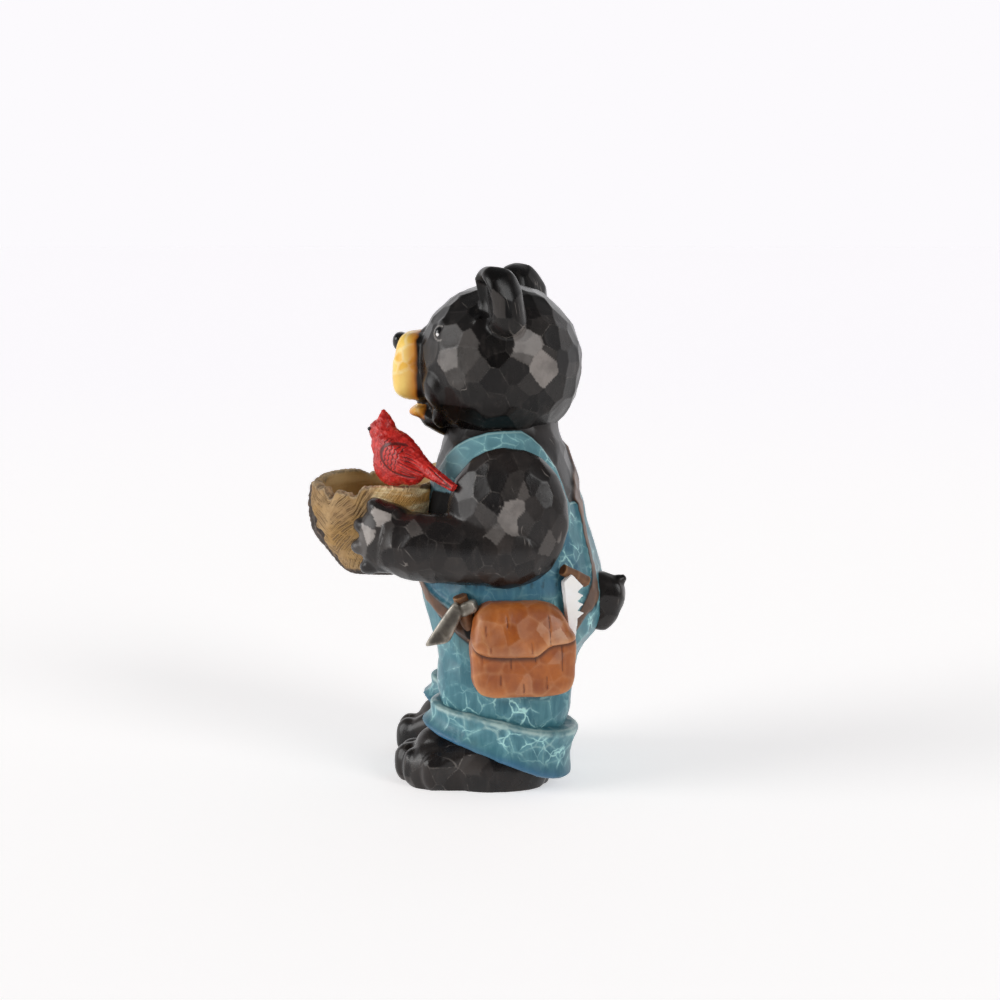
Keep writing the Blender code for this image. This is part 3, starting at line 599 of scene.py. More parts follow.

# %% [markdown]
# ## Blue cloth paint
# The overalls are teal, with cobalt as painted shade beside and under the arm and along the turn-ups' lower
# edges, grey-green where the paint is thin, and pale turquoise dragged along the ridges between cuts, which
# draws a net over the cloth. The same body also has fur at the neck and the leather strap, so one material
# blends three paints by masks kept on the points.


# %% Cloth, and the leather of the strap and the bag
def cloth_colour(tree):
    """Teal by cut, grey-green by broad noise, pale strokes, cobalt where shade says, and dark stitches where
    tick says. Over that turquoise, strong where vein says: a soft veil by the ridges, a halo round the lines
    of a fine net, and the ridges and the net themselves. pale lightens the shoulder straps."""
    colour = mix(tree, times(tree, kept(tree, "cut"), 0.6), "316877", "4a7f8a")
    thin = blotches(tree, 17.0, 3.0, 0.52, 0.72, 0.0, 0.65, roughness=0.6)
    colour = mix(tree, thin, colour, "6c8682")
    strokes = blotches(tree, 150.0, 4.0, 0.42, 0.70, 0.0, 0.45, stretch=(1.0, 1.0, 0.16))
    colour = mix(tree, strokes, colour, "62979f")
    # Painted shade: cobalt where shade says.
    blue = mix(tree, blotches(tree, 26.0, 3.0, 0.3, 0.7), "225e8c", "1f5872")
    colour = mix(tree, kept(tree, "shade"), colour, blue)
    colour = mix(tree, kept(tree, "tick"), colour, "173843")
    vein = kept(tree, "vein")
    veil = times(tree, caught_ridges(tree, 5.0, 0.2), vein)
    colour = mix(tree, times(tree, veil, 0.45), colour, "86bcc2")
    colour = mix(tree, kept(tree, "pale"), colour, "86b4bc")
    halo = times(tree, effect(tree, fine_net, {"Cells": 60.0, "Width": 0.0034}), vein)
    colour = mix(tree, times(tree, halo, 0.3), colour, "7fb9cc")
    net = effect(tree, fine_net, {"Cells": 60.0, "Width": 0.0010})
    lines = calculate(tree, "MAXIMUM", times(tree, caught_ridges(tree, 1.1, 0.2), 0.6), net)
    return mix(tree, times(tree, lines, vein), colour, "bceee8")


def leather_colour(tree, dark, light, wear_and_glint, on_ridges=0.08):
    """Two tones by cut and by noise, with pale paint on the cuts that shine names, worn paint and on the
    flap painted sheen too, and faintly on a few ridges.
    """
    colour = mix(tree, times(tree, kept(tree, "cut"), 0.25), dark, light)
    colour = mix(tree, blotches(tree, 42.0, 4.0, 0.35, 0.75), colour, light)
    strokes = blotches(tree, 120.0, 4.0, 0.45, 0.8, 0.0, 0.4, stretch=(1.0, 1.0, 0.3))
    colour = mix(tree, strokes, colour, dark)
    # Pale on the cuts that shine names: worn paint, and on the flap painted sheen.
    patchy = blotches(tree, 55.0, 3.0, 0.3, 0.6, 0.4, 1.1)
    colour = mix(tree, times(tree, kept(tree, "shine"), patchy), colour, wear_and_glint)
    return mix(tree, times(tree, caught_ridges(tree, 1.1, 0.1), on_ridges), colour, wear_and_glint)


def make_body_paint():
    """Fur where cloth is below nought, cloth above it, a light line along its edge, the strap with a dark
    line on both sides, and near-black painted shade in the gap by the forearm and behind the hammer."""
    made, tree, shader = start_material("overalls_and_fur_paint")
    inside = kept(tree, "cloth")
    from_edge = calculate(tree, "ABSOLUTE", calculate(tree, "SUBTRACT", inside, 1.4))
    cloth = mix(tree, mask(tree, from_edge, 0.3, 1.2, 0.8, 0.0), cloth_colour(tree), "9fc4c4")
    colour = mix(tree, mask(tree, inside, -0.4, 0.4), fur_colour(tree), cloth)
    is_strap = mask(tree, kept(tree, "strap"), -0.4, 0.4)
    colour = mix(tree, is_strap, colour, leather_colour(tree, "4a3223", "7d563a", "9a7854"))
    beside_strap = mask(tree, calculate(tree, "ABSOLUTE", kept(tree, "strap")), 0.2, 1.6, 0.75, 0.0)
    colour = mix(tree, beside_strap, colour, "1c1a18")
    # Painted shade, near black and rougher, in the gap by the forearm and behind the hammer.
    colour = mix(tree, kept(tree, "painted_shadow"), colour, "060505")
    gloss = mask(tree, kept(tree, "cut"), 0.0, 1.0, 0.30, 0.42)
    roughness = calculate(tree, "ADD", gloss, times(tree, kept(tree, "painted_shadow"), 0.5))
    finish_material(tree, shader, colour, roughness, 0.0002, 0.4)
    return made


def make_cloth():
    """The cloth of the turn-ups, with light paint on their upper edges: rubbed paint and painted highlight
    together.
    """
    made, tree, shader = start_material("blue_cloth_paint")
    # Light paint on the upper edges: rubbed paint and painted highlight.
    edge = times(tree, kept(tree, "edge"), blotches(tree, 50.0, 3.0, 0.3, 0.6, 0.1, 0.9))
    colour = mix(tree, edge, cloth_colour(tree), "a9c4c0")
    finish_material(tree, shader, colour, mask(tree, kept(tree, "cut"), 0.0, 1.0, 0.32, 0.5), 0.0005)
    return made


overalls_and_fur_paint = make_body_paint()
blue_cloth_paint = make_cloth()
print("nodes in the cloth's paint:", len(blue_cloth_paint.node_tree.nodes))

# %% [markdown]
# ## The head
# The head is nearly a ball, with a square muzzle, a lower lip, cheeks and brows set on it, and two ears
# scooped out on their front. The stations are the same ones that the solid is built from, so both keep one
# form.


# %% Head forms
def scooped(unit):
    """A unit ball with a hollow where it looks along +X: x is drawn in by the depth of a round dish."""
    away = np.hypot(unit[..., 1], unit[..., 2] - 0.05)
    depth = rise(unit[..., 0], 0.4) * rise(0.76 - away, 0.36)
    return np.concatenate([unit[..., :1] - 0.5 * depth[..., None], unit[..., 1:]], axis=-1)


def head_grids():
    """Skull, jaw, muzzle, the bridge over it, lip and chin, then the brow, cheek, jowl, ear and temple of
    each side."""
    grids = [
        ball((0, 0, 424), (84, 84, 83), 2.05, rings=90, around=120),
        ball((0, 0, 385), (68, 64, 34)),
        ball((0, -83, 421.5), (37, 25.5, 36.5), 3.6, (-4, 0, 0)),
        ball((0, -61, 442), (33, 28, 26)),
        ball((0, -78, 375), (24, 18, 8), 2.3, (4, 0, 0)),
        ball((0, -62, 364), (28, 27, 13), 2.0, (-32, 0, 0)),
    ]
    for side in (-1, 1):
        grids.append(ball((side * 46, -45, 463), (14, 11, 12), 2.0, (-30, 0, side * 28)))
        grids.append(ball((side * 44, -50, 404), (24, 22, 26)))
        grids.append(ball((side * 34, -52, 376), (13, 13, 17)))
        turn = -60 if side > 0 else -120
        ear = ball((side * 68, 12.5, 489), (22, 28, 36), 2.5, (0, 0, turn), scooped)
        ear[..., 1] -= 0.2 * (ear[..., 2] - 489)
        grids.append(ear)
        grids.append(ball((side * 60, -10, 466), (12, 10, 12)))
    return grids


# Middles of cuts on the left side of the head, and how much grey each gets as a painted highlight, where the
# soft boxes would be mirrored. Nearly nought keeps a cut dark that lies between bright ones.
HEAD_GLINTS = (
    (66.0, -38.9, 457.1, 0.08),
    (74.1, -37.4, 433.9, 0.28),
    (79.7, -21.8, 436.8, 0.11),
    (77.6, -30.7, 421.3, 0.12),
    (82.0, -11.8, 425.3, 0.06),
    (76.0, -20.4, 450.8, 0.12),
    (69.8, 34.4, 454.9, 0.30),
    (65.0, 46.5, 450.9, 0.42),
    (75.9, 33.4, 435.7, 0.22),
    (67.9, 48.0, 433.4, 0.55),
    (60.0, 58.7, 429.1, 0.08),
    (54.1, 49.7, 464.1, 0.06),
    (37.7, 72.0, 444.7, 0.08),
    (27.9, 77.9, 413.2, 0.05),
    (79.6, -0.2, 448.8, 0.01),
    (82.1, 9.7, 434.9, 0.0),
    (80.5, 22.3, 421.2, 0.01),
    (81.8, 4.6, 411.3, 0.0),
    (75.5, 27.4, 402.2, 0.02),
    (68.6, 45.7, 409.8, 0.05),
    (49.8, -27.5, 485.0, 0.0),
    (53.8, -39.9, 474.2, 0.01),
    (52.5, 38.4, 476.7, 0.02),
    (28.5, 50.7, 483.7, 0.05),
    (93.9, 16.7, 495.6, 0.08),
    (76.4, 25.6, 447.4, 0.02),
    (30.2, 66.1, 465.0, 0.04),
    (52.7, 62.7, 408.8, 0.03),
    (78.6, -8.0, 398.0, 0.02),
)
MUZZLE_RING = ((37, -92), (30, -106), (10, -109), (-10, -109), (-30, -106), (-37, -92))
MUZZLE_HEIGHTS = (396, 414, 432, 450)


def muzzle_cuts():
    """Middles in upright rows round the muzzle, every other row half a step higher. None gets painted
    highlight.
    """
    rows = enumerate(MUZZLE_RING)
    return [(x, y, z + 9 * (row % 2), 0.0) for row, (x, y) in rows for z in MUZZLE_HEIGHTS]


head = skin("head", head_grids(), 1.55)
cuts = knife_cuts(head, 20, 0.0082, 3, tilt=0.09, deepest=2.4, wear_and_glint=[*HEAD_GLINTS, *muzzle_cuts()])
print("head:", cuts, "cuts,", count_faces(head), "triangles")

# %% [markdown]
# ## Muzzle paint
# The muzzle is yellow ochre, deeper towards its back edge, where a dark orange wash meets the black. The
# lower lip has the same paint. Where the paint goes is a question of place, so a number kept on each point
# says how far in front of the paint's edge it lies.


# %% Head paint
EYE = (53, -50.5, 457.5)
EYE_RADIUS = 6.5
GLINT = (EYE[0] + 5.3, EYE[1] - 2.2, EYE[2] - 1.6)
MUZZLE_EDGE, LIP_EDGE_BEHIND = -79.0, 6.0
LIP_LOW, MOUTH_LOW, LIP_TOP, MOUTH_HIGH = 368, 382.5, 385, 388


def keep_head_masks(made):
    """muzzle: millimetres in front of the paint's back edge, above nought only on the muzzle and the lip.
    lid: 1 on a thin ring round each eye."""
    points = read_points(made)
    x, y, z = points.T
    edge = MUZZLE_EDGE + LIP_EDGE_BEHIND * rise(LIP_TOP - z, 3) + ripple(points, 14, 5)
    inside_mouth = rise(MOUTH_HIGH - z, 3) * rise(z - MOUTH_LOW, 1.5)
    below_lip = np.minimum(z - LIP_LOW + 0.1 * (y + 80), 30)
    write_values(made, "muzzle", np.minimum(edge - y, below_lip) - 30 * inside_mouth)
    from_eye = np.hypot(y - EYE[1], z - EYE[2])
    lid = rise(from_eye - EYE_RADIUS + 0.3, 0.8) * rise(EYE_RADIUS + 1.7 - from_eye, 0.8)
    write_values(made, "lid", lid * (np.abs(x) > 30) * (y < EYE[1] + 3))


def make_head_paint():
    """Fur, and ochre where muzzle is above nought, browner near its back edge and pale on the ridges."""
    made, tree, shader = start_material("head_paint")
    ahead = kept(tree, "muzzle")
    yellow = mix(tree, blotches(tree, 42.0, 3.0, 0.35, 0.7), "fdd468", "eeb445")
    yellow = mix(tree, mask(tree, kept(tree, "cut"), 0.5, 1.0, 0.0, 0.4), yellow, "ffe9a6")
    yellow = mix(tree, times(tree, caught_ridges(tree, 2.2, 0.4), 0.5), yellow, "fdeebb")
    yellow = mix(tree, mask(tree, ahead, 1.0, 15.0, 0.9, 0.0), yellow, "c8741a")
    yellow = mix(tree, mask(tree, ahead, 0.0, 4.5, 0.8, 0.0), yellow, "5f2f0e")
    fur = mix(tree, times(tree, kept(tree, "lid"), 0.5), fur_colour(tree, "080707", "1c1817"), "b8b2ac")
    colour = mix(tree, mask(tree, ahead, -1.0, 1.2), fur, yellow)
    finish_material(tree, shader, colour, fur_roughness(tree), 0.00012, 0.24)
    return made


keep_head_masks(head)
head_paint = make_head_paint()
print("nodes in the head's paint:", len(head_paint.node_tree.nodes))

# %% Nose and eyes
def make_gloss():
    """Black gloss, with a white spot where glint says."""
    made, tree, shader = start_material("glossy_black_paint")
    colour = mix(tree, blotches(tree, 220.0, 3.0, 0.4, 0.7), "0c0c0d", "1d1b1c")
    colour = mix(tree, kept(tree, "glint"), colour, "f2f0ee")
    finish_material(tree, shader, colour, blotches(tree, 90.0, 2.0, 0.3, 0.7, 0.10, 0.22))
    return made


glossy_black_paint = make_gloss()


def nose_shape(unit):
    """x grows by 0.18 z, so it is wider above, and a groove 0.16 deep runs down the middle of its front."""
    x, y, z = unit[..., :1], unit[..., 1:2], unit[..., 2:]
    groove = 0.16 * np.exp(-((x / 0.12) ** 2)) * rise(-y, 0.5) * rise(0.5 - z, 0.6)
    return np.concatenate([x * (1 + 0.18 * z), y + groove, z], axis=-1)


nose = skin("nose", [ball((0, -103.5, 445.5), (14, 8, 10), 2.2, shape=nose_shape)], 0.8)
eyes = []
for side, name in ((1, "eye_left"), (-1, "eye_right")):
    mirror = np.array([side, 1, 1])
    made = skin(name, [ball(mirror * EYE, np.full(3, EYE_RADIUS))], 0.65)
    from_glint = np.linalg.norm(read_points(made) - mirror * GLINT, axis=1)
    write_values(made, "glint", rise(2.1 - from_glint, 0.6))
    eyes.append(made)
print("nose and eyes:", [count_faces(made) for made in (nose, *eyes)], "triangles")

# %% [markdown]
# ## The body
# Trunk and trouser legs are lofts: each station gives a half width, a front and a back, and the smooth curve
# through them gives every ring between. The overalls stand proud of the fur, and the bag's strap stands proud
# of both, which is done by pushing the rings outwards where the point lies inside their edges.


# %% Body forms
TORSO = (
    (62, 52, -32, 46),
    (72, 68, -44, 58),
    (90, 84, -54, 71),
    (106, 92, -58, 74),
    (121, 98, -58, 77),
    (136, 101, -60, 85),
    (148, 103, -63, 95),
    (162, 104, -67, 102),
    (180, 103, -73, 105),
    (205, 101, -78, 103),
    (235, 98, -79, 95),
    (265, 94, -77, 86),
    (290, 90, -73, 80),
    (315, 82, -67, 74),
    (335, 72, -61, 68),
    (352, 60, -57, 62),
    (375, 46, -50, 58),
)
LEG = (
    (28, 30, -30, 54),
    (50, 38, -38, 68),
    (75, 45, -48, 80),
    (100, 47, -54, 83),
    (125, 46, -54, 82),
    (150, 40, -44, 79),
)
LEG_X = 55
STRIDE = 23
CLOTH_THICKNESS = 3.0
STRAP_WIDTH = 16
STRAP_THICKNESS = 3.5
SHOULDER_EDGE = ((-90, 285), (-62, 312), (-36, 344), (-6, 358), (20, 361), (56, 352), (75, 326), (95, 285))
STRAP_FRONT = ((-66, 356), (-20, 296), (20, 246), (46, 216), (64, 201), (80, 189), (94, 177), (104, 163))
STRAP_BACK = (
    (-66, 356),
    (-40, 338),
    (-10, 308),
    (14, 282),
    (25, 250),
    (30, 222),
    (38, 202),
    (54, 189),
    (72, 172),
    (104, 150),
)


def inside_overalls(x, y, z):
    """Millimetres inside the edge of the overalls: below the shoulder line, and beside the neck or below the
    bib's top edge."""
    edge = np.array(SHOULDER_EDGE, float)
    below_straps = smooth_between(edge[:, 0], edge[:, 1], y) - z
    beside_neck = np.abs(x) - (36 + 0.2 * (z - 290))
    return np.minimum(below_straps, np.maximum(beside_neck, 288 - z))


def inside_strap(x, y, z):
    """Millimetres inside the edges of the bag's strap, whose middle runs from the right shoulder to the left
    hip along one curve in front and one behind."""
    across = np.full(x.shape, np.inf)
    for path, there in ((STRAP_FRONT, y < 0), (STRAP_BACK, y >= 0)):
        knots = np.array(path, float)
        run = np.clip(x, knots[0, 0], knots[-1, 0])
        height = smooth_between(knots[:, 0], knots[:, 1], run)
        slope = np.interp(run, knots[:, 0], np.gradient(knots[:, 1], knots[:, 0]))
        across = np.where(there, np.hypot(np.abs(z - height) / np.hypot(1, slope), x - run), across)
    return STRAP_WIDTH / 2 - across


def loft(stations, rings, around):
    """Rings through the stations, each a height, a half width, a front and a back."""
    table = np.array(stations, float)
    heights = np.linspace(table[0, 0], table[-1, 0], rings)
    width, front, back = smooth_between(table[:, 0], table[:, 1:], heights).T
    grid = oval(width, front, back, around)
    grid[..., 2] = heights[:, None]
    return grid


def trunk_grid():
    """The torso's rings, pushed outwards by the thickness of the cloth and of the strap where they lie."""
    grid = loft(TORSO, 300, 420)
    outward = (grid - grid.mean(axis=1, keepdims=True)) * (1, 1, 0)
    outward /= np.linalg.norm(outward, axis=2, keepdims=True)
    x, y, z = np.moveaxis(grid, -1, 0)
    proud = CLOTH_THICKNESS * rise(inside_overalls(x, y, z), 1.6)
    proud += STRAP_THICKNESS * rise(inside_strap(x, y, z), 1.4)
    return grid + outward * proud[..., None]


def leg_grid(side):
    """A trouser leg. The right one is ahead by the stride, less and less towards the hip."""
    grid = loft(LEG, 60, 120)
    grid[..., 0] += side * LEG_X
    grid[..., 1] -= STRIDE * (side < 0) * rise(150 - grid[..., 2], 60)
    return grid


body = skin("body", [trunk_grid(), leg_grid(-1), leg_grid(1)], 2.1)
print("body:", count_faces(body), "triangles")

# %% [markdown]
# ## Where the body's paints go
# The painter's edges follow the carving, so each mask is worked out from the places of the points before the
# knife moves them: cloth, strap, shade under the arm, light veins and a row of dark stitches.


# %% Body masks
GAP_FROM_X, GAP_TO_Y, GAP_LOW, GAP_HIGH = 62, -15, 225, 301
STITCH_STEP, STITCH_LOW, STITCH_HIGH = 11, 208, 219


def from_oval(y, z, middle, halves):
    """Seen from the side, 1 on an oval, less inside it and more outside."""
    return np.hypot((y - middle[0]) / halves[0], (z - middle[1]) / halves[1])


def body_masks(points):
    """The numbers that the body's paint reads.
    cloth and strap: millimetres inside their edges, with no cloth in the gap between bowl and forearm.
    shade: cobalt painted shade beside and under the arm. vein: light lines low down, behind, in front and on
    the shoulders. pale: lighter blue on the shoulder straps. tick: a row of dark stitches, one for each
    STITCH_STEP. Last comes a mask of near-black painted shade, in the same gap and behind the hammer's head."""
    x, y, z = points.T
    aside = np.abs(x)
    in_gap = (aside > GAP_FROM_X) & (y < GAP_TO_Y) & (z > GAP_LOW) & (z < GAP_HIGH)
    by_arm = rise(1.20 - from_oval(y, z, (23, 278), (61, 70)), 0.16)
    under_arm = rise(1.45 - from_oval(y, z, (-10, 247), (108, 42)), 0.3)
    # Painted shade behind the hammer's head.
    shadow_behind_hammer = rise(1 - from_oval(y, z, (-8, 171), (12, 20)), 0.3) * (x > 60)
    in_front = rise(-y - 22, 10) * rise(170 - z, 20)
    vein = np.maximum(rise(112 - z, 14), 0.8 * rise(y - 55, 15) + 0.7 * in_front)
    vein = np.maximum(vein, 0.95 * rise(z - 300, 20))
    from_stitch = np.abs((y / STITCH_STEP + 0.1 * ripple(points, 30, 13)) % 1 - 0.5)
    in_row = rise(z - STITCH_LOW, 3) * rise(STITCH_HIGH - z, 3) * (aside > 60)
    return {
        "cloth": np.where(in_gap, -3.0, np.where(z < 160, 40.0, inside_overalls(x, y, z))),
        "strap": np.where(z < 140, -40.0, inside_strap(x, y, z)),
        "shade": 0.4 * np.maximum(by_arm, under_arm) * (aside > 55) * rise(330 - z, 30),
        "vein": np.clip(0.12 + vein * (0.65 + 0.35 * ripple(points, 45, 12)), 0, 1),
        "pale": 0.45 * rise(z - 300, 25),
        "tick": 0.7 * rise(0.13 - from_stitch, 0.08) * in_row,
        "painted_shadow": np.maximum(shadow_behind_hammer, in_gap),
    }


masks = body_masks(read_points(body))
cuts = knife_cuts(body, 21, 0.0060, seed=11)
for name, values in masks.items():
    write_values(body, name, values)
print("body:", cuts, "cuts, and these masks:", ", ".join(masks))

# %% [markdown]
# ## Turned-up trouser ends
# Each turn-up is a band between two tilted ovals. It is pinched between its edges, which are rolled, and its
# edges wander a little as thick cloth does.


# %% Turn-ups
# The middle's y and z, the tilt in degrees and the half depth, of the lower and of the upper edge.
CUFF_LOW = (5.3, 38.0, 20.0, 81.5)
CUFF_HIGH = (15.5, 76.5, 10.0, 76.5)
CUFF_HALF_WIDTH = 55.0


def cuff_grid(side, rings=60, around=260):
    """Ovals whose middle, height, tilt and half depth go evenly from the lower to the upper edge, drawn in by
    4.5 sin²(πt) between the edges and rounded off at them."""
    t = np.linspace(0, 1, rings)
    low, high = np.array(CUFF_LOW), np.array(CUFF_HIGH)
    middle_y, middle_z, tilt, half_depth = low[:, None] + np.outer(high - low, t)
    pinch = 4.5 * np.sin(np.pi * t) ** 2
    rolled = 4.0 * (np.maximum(0, 0.08 - t) + np.maximum(0, t - 0.92)) / 0.08
    reach = half_depth - pinch - rolled
    grid = oval(CUFF_HALF_WIDTH - pinch - rolled, -reach, reach, around)
    turn = np.linspace(0, 2 * np.pi, around, endpoint=False)
    wander = 0.8 * np.sin(3 * turn + 1 + side) + 0.5 * np.sin(5 * turn + 2)
    grid[..., 2] += wander * (np.abs(t - 0.5) * 2)[:, None] ** 2
    angle = np.radians(tilt)[:, None]
    cos, sin = np.cos(angle), np.sin(angle)
    x, y, z = np.moveaxis(grid, -1, 0)
    grid = np.stack([x, y * cos + z * sin, z * cos - y * sin], axis=-1)
    return grid + np.stack([side * LEG_X + 0 * t, middle_y - STRIDE * (side < 0), middle_z], -1)[:, None]


def keep_turn_up_masks(made, side):
    """t runs from 0 at the lower edge to 1 at the upper one. vein: patchy, and strong above t = 0.2. shade:
    painted shade near the lower edge. edge: in the upper part only, rubbed paint and painted highlight
    together."""
    points = read_points(made) + (0, STRIDE * (side < 0), 0)
    y, z = points[:, 1], points[:, 2]
    over_low = z - CUFF_LOW[1] + (y - CUFF_LOW[0]) * math.tan(math.radians(CUFF_LOW[2]))
    under_high = CUFF_HIGH[1] - (y - CUFF_HIGH[0]) * math.tan(math.radians(CUFF_HIGH[2])) - z
    t = over_low / np.maximum(over_low + under_high, 1)
    patchy = 0.75 + 0.35 * ripple(points, 50, 24)
    write_values(made, "vein", np.clip(rise(t - 0.18, 0.2) * rise(1.02 - t, 0.25) * patchy, 0, 1))
    write_values(made, "shade", 0.7 * rise(0.30 - t, 0.25))
    keep_edges(made, rise(t - 0.4, 0.2), passes=1)


turn_ups = []
for side, name in ((1, "turn_up_left"), (-1, "turn_up_right")):
    made = skin(name, [cuff_grid(side)], 1.5)
    cuts = knife_cuts(made, 19, 0.0050, seed=20 + side, deepest=0.9)
    keep_turn_up_masks(made, side)
    turn_ups.append(made)
    print(name, cuts, "cuts,", count_faces(made), "triangles")

# %% [markdown]
# ## Arms, feet and tail
# The arms hang from the shoulders and reach forward, and the fingers close on the bowl. Fingers and toes are
# round forms that just touch, so that the grooves between them come from their own sides.


# %% Limbs
BOWL_WIDTH = 168
HAND_X = BOWL_WIDTH / 2 + 11
FINGERS = ((-103, 285, 9.5, 28), (-115, 267, 9.5, 10), (-118, 248, 9.5, -4), (-110, 230, 9.5, -20))
TOES = ((42, -98, 12.5), (59, -99, 13.5), (76, -87, 13.5), (91, -64, 12.5))


def arm_grids(side):
    """Shoulder, elbow, a limb to the wrist, the hand, and four fingers that close on the bowl."""
    wrist = (side * HAND_X, -96, 254)
    reach = [(side * 94, 24, 247), (side * 96, -20, 247), (side * 97, -70, 249), wrist]
    grids = [
        ball((side * 89, 19.5 + 3.5 * side, 278), (33, 58 + 3 * side, 70), 2.1),
        ball((side * 93, 20, 247), (36, 48, 39), 2.1),
        limb(reach, [36, 36, 34, 31]),
        ball((side * HAND_X, -96, 256), (25, 29, 36), 2.3),
    ]
    for y, z, girth, tilt in FINGERS:
        grids.append(ball((side * (HAND_X + 1), y, z), (15, 16, girth), 2.3, (-tilt, 0, side * 10)))
    return grids


def foot_grids(side):
    """Sole, heel and instep, and for each toe a limb with a rounded nail at its tip."""
    ahead = STRIDE * (side < 0)
    turn = (0, 0, side * 17)
    grids = [
        ball((side * 58, -12 - ahead, 15), (33, 74, 42), 2.4, turn),
        ball((side * 60, 8 - ahead, 18), (37, 52, 36), 2.3, turn),
        ball((side * 58, -34 - ahead, 28), (30, 46, 34), 2.2, (-8, 0, side * 17)),
    ]
    for x, tip, girth in TOES:
        knuckle = (side * (x - 5), tip + 38 - ahead, 33)
        nail = (side * x, tip + 15 - ahead, 21)
        path = [(side * (x - 14), tip + 74 - ahead, 42), knuckle, nail]
        grids.append(limb(path, [girth, girth + 1.5, girth - 0.5]))
        grids.append(ball((side * x, tip + 15 - ahead, 18), (girth, 16, 21), 2.3, turn))
    return grids


def tail_grids():
    """A stub, and a short tip that turns up."""
    tip = limb([(0, 112, 190), (0, 123, 201), (0, 131, 208)], [15, 9, 3])
    return [ball((0, 105, 181), (18, 23, 30), 3.0, (-20, 0, 0)), tip]


def flatten_sole(made):
    """Points below the floor are brought up to it, so the sole is flat."""
    points = read_points(made)
    points[:, 2] = np.maximum(points[:, 2], 0.0)
    write_points(made, points)


limbs = []
# Middles of cuts on the left arm and hand, and how grey each is painted: highlights on the upper arm, and on
# the hand worn paint with painted highlight.
ARM_GLINTS_AND_WEAR = (
    (116.0, 44.3, 309.9, 0.16),
    (119.2, 38.0, 295.5, 0.42),
    (121.2, 28.5, 280.9, 0.40),
    (123.2, 18.0, 267.2, 0.20),
    (127.1, 27.6, 257.3, 0.04),
    (117.2, 50.4, 292.6, 0.03),
    (120.0, 42.0, 279.1, 0.05),
    (120.9, 9.7, 280.4, 0.07),
    (117.3, 32.7, 311.7, 0.05),
    (109.4, 65.9, 254.6, 0.13),
    (120.7, -66.8, 271.4, 0.14),
    (113.1, -104.7, 280.2, 0.75),
    (116.4, -107.0, 271.7, 0.03),
    (118.9, -92.3, 271.4, 0.06),
    (115.3, -112.5, 261.4, 0.70),
    (120.6, -98.1, 257.7, 0.04),
    (109.4, -124.2, 248.2, 0.15),
)
for side, name in ((1, "left"), (-1, "right")):
    arm = skin("arm_" + name, arm_grids(side), 1.65)
    grey = ARM_GLINTS_AND_WEAR if side > 0 else ()
    cuts = knife_cuts(
        arm, 16, 0.0095, 30 + side, tilt=0.07, deepest=2.0, wear_and_glint=grey, rare=0.03, upright=1.25
    )
    print(arm.name, cuts, "cuts,", count_faces(arm), "triangles")
    foot = skin("foot_" + name, foot_grids(side), 1.7)
    cuts = knife_cuts(foot, 19, 0.006, seed=40 + side, deepest=1.0)
    flatten_sole(foot)
    print(foot.name, cuts, "cuts,", count_faces(foot), "triangles")
    limbs += [arm, foot]
tail = skin("tail", tail_grids(), 1.5)
knife_cuts(tail, 17, 0.012, seed=50)
limbs.append(tail)

# %% [markdown]
# ## The tool bag
# The bag is leather, carved as one with the bear: a pouch that widens upwards, and a flap that hangs over it
# and curls out along its lower edge. Short upright cuts stand for its creases.


# %% Bag
BAG_WIDTH, BAG_HEIGHT, BAG_THICKNESS = 108, 100, 44
BAG_X, BAG_Y, BAG_BOTTOM, BAG_TURN = 102, 41, 104, 18
BAG_TOP = BAG_BOTTOM + BAG_HEIGHT
BAG_FRONT = BAG_Y - BAG_WIDTH / 2
BAG_BACK = BAG_Y + BAG_WIDTH / 2
HALF_WIDTH, HALF_THICK = BAG_WIDTH / 2, BAG_THICKNESS / 2
POUCH_SIZE = (HALF_THICK * 0.88, HALF_WIDTH * 0.96, BAG_HEIGHT * 0.34)
FLAP_SIZE = (HALF_THICK, HALF_WIDTH, BAG_HEIGHT * 0.265)
POUCH_PLACE = (BAG_X, BAG_Y, BAG_BOTTOM + BAG_HEIGHT * 0.33)
FLAP_PLACE = (BAG_X + 2, BAG_Y + 2, BAG_BOTTOM + BAG_HEIGHT * 0.68)
FLAP_POWER = 4.5
FLAP_SAG = 0.05
# Each crease's place across the bag, and the two heights that it runs between.
POUCH_MARKS = (
    (-42, 138, 150),
    (-24, 116, 130),
    (-14, 132, 147),
    (-1, 107, 121),
    (10, 138, 150),
    (22, 111, 128),
    (37, 128, 158),
)
FLAP_MARKS = ((-39, 166, 180), (-18, 174, 188), (6, 148, 163), (24, 156, 188), (-35, 150, 160))
# Middles of cuts on the flap, and how pale each is painted: worn paint and painted sheen together.
FLAP_WEAR_AND_SHEEN = (
    (119.9, 65.8, 171.5, 0.60),
    (116.9, 75.3, 166.3, 0.50),
    (122.1, 61.3, 158.9, 0.10),
    (123.7, 54.6, 171.9, 0.14),
    (110.0, 84.1, 172.2, 0.05),
    (135.2, 19.2, 165.1, 0.15),
    (133.6, 13.0, 176.4, 0.20),
)


def pouch_shape(unit):
    """x and y grow with z, as a filled pouch widens upwards."""
    z = unit[..., 2]
    return unit * np.stack([1 + 0.04 * z, 1 + 0.05 * z, np.ones(z.shape)], axis=-1)


def cut_short(y):
    """How much of the flap's lower half is missing: none in front, 0.45 at the back."""
    return 0.45 * rise(y - 0.1, 0.42)


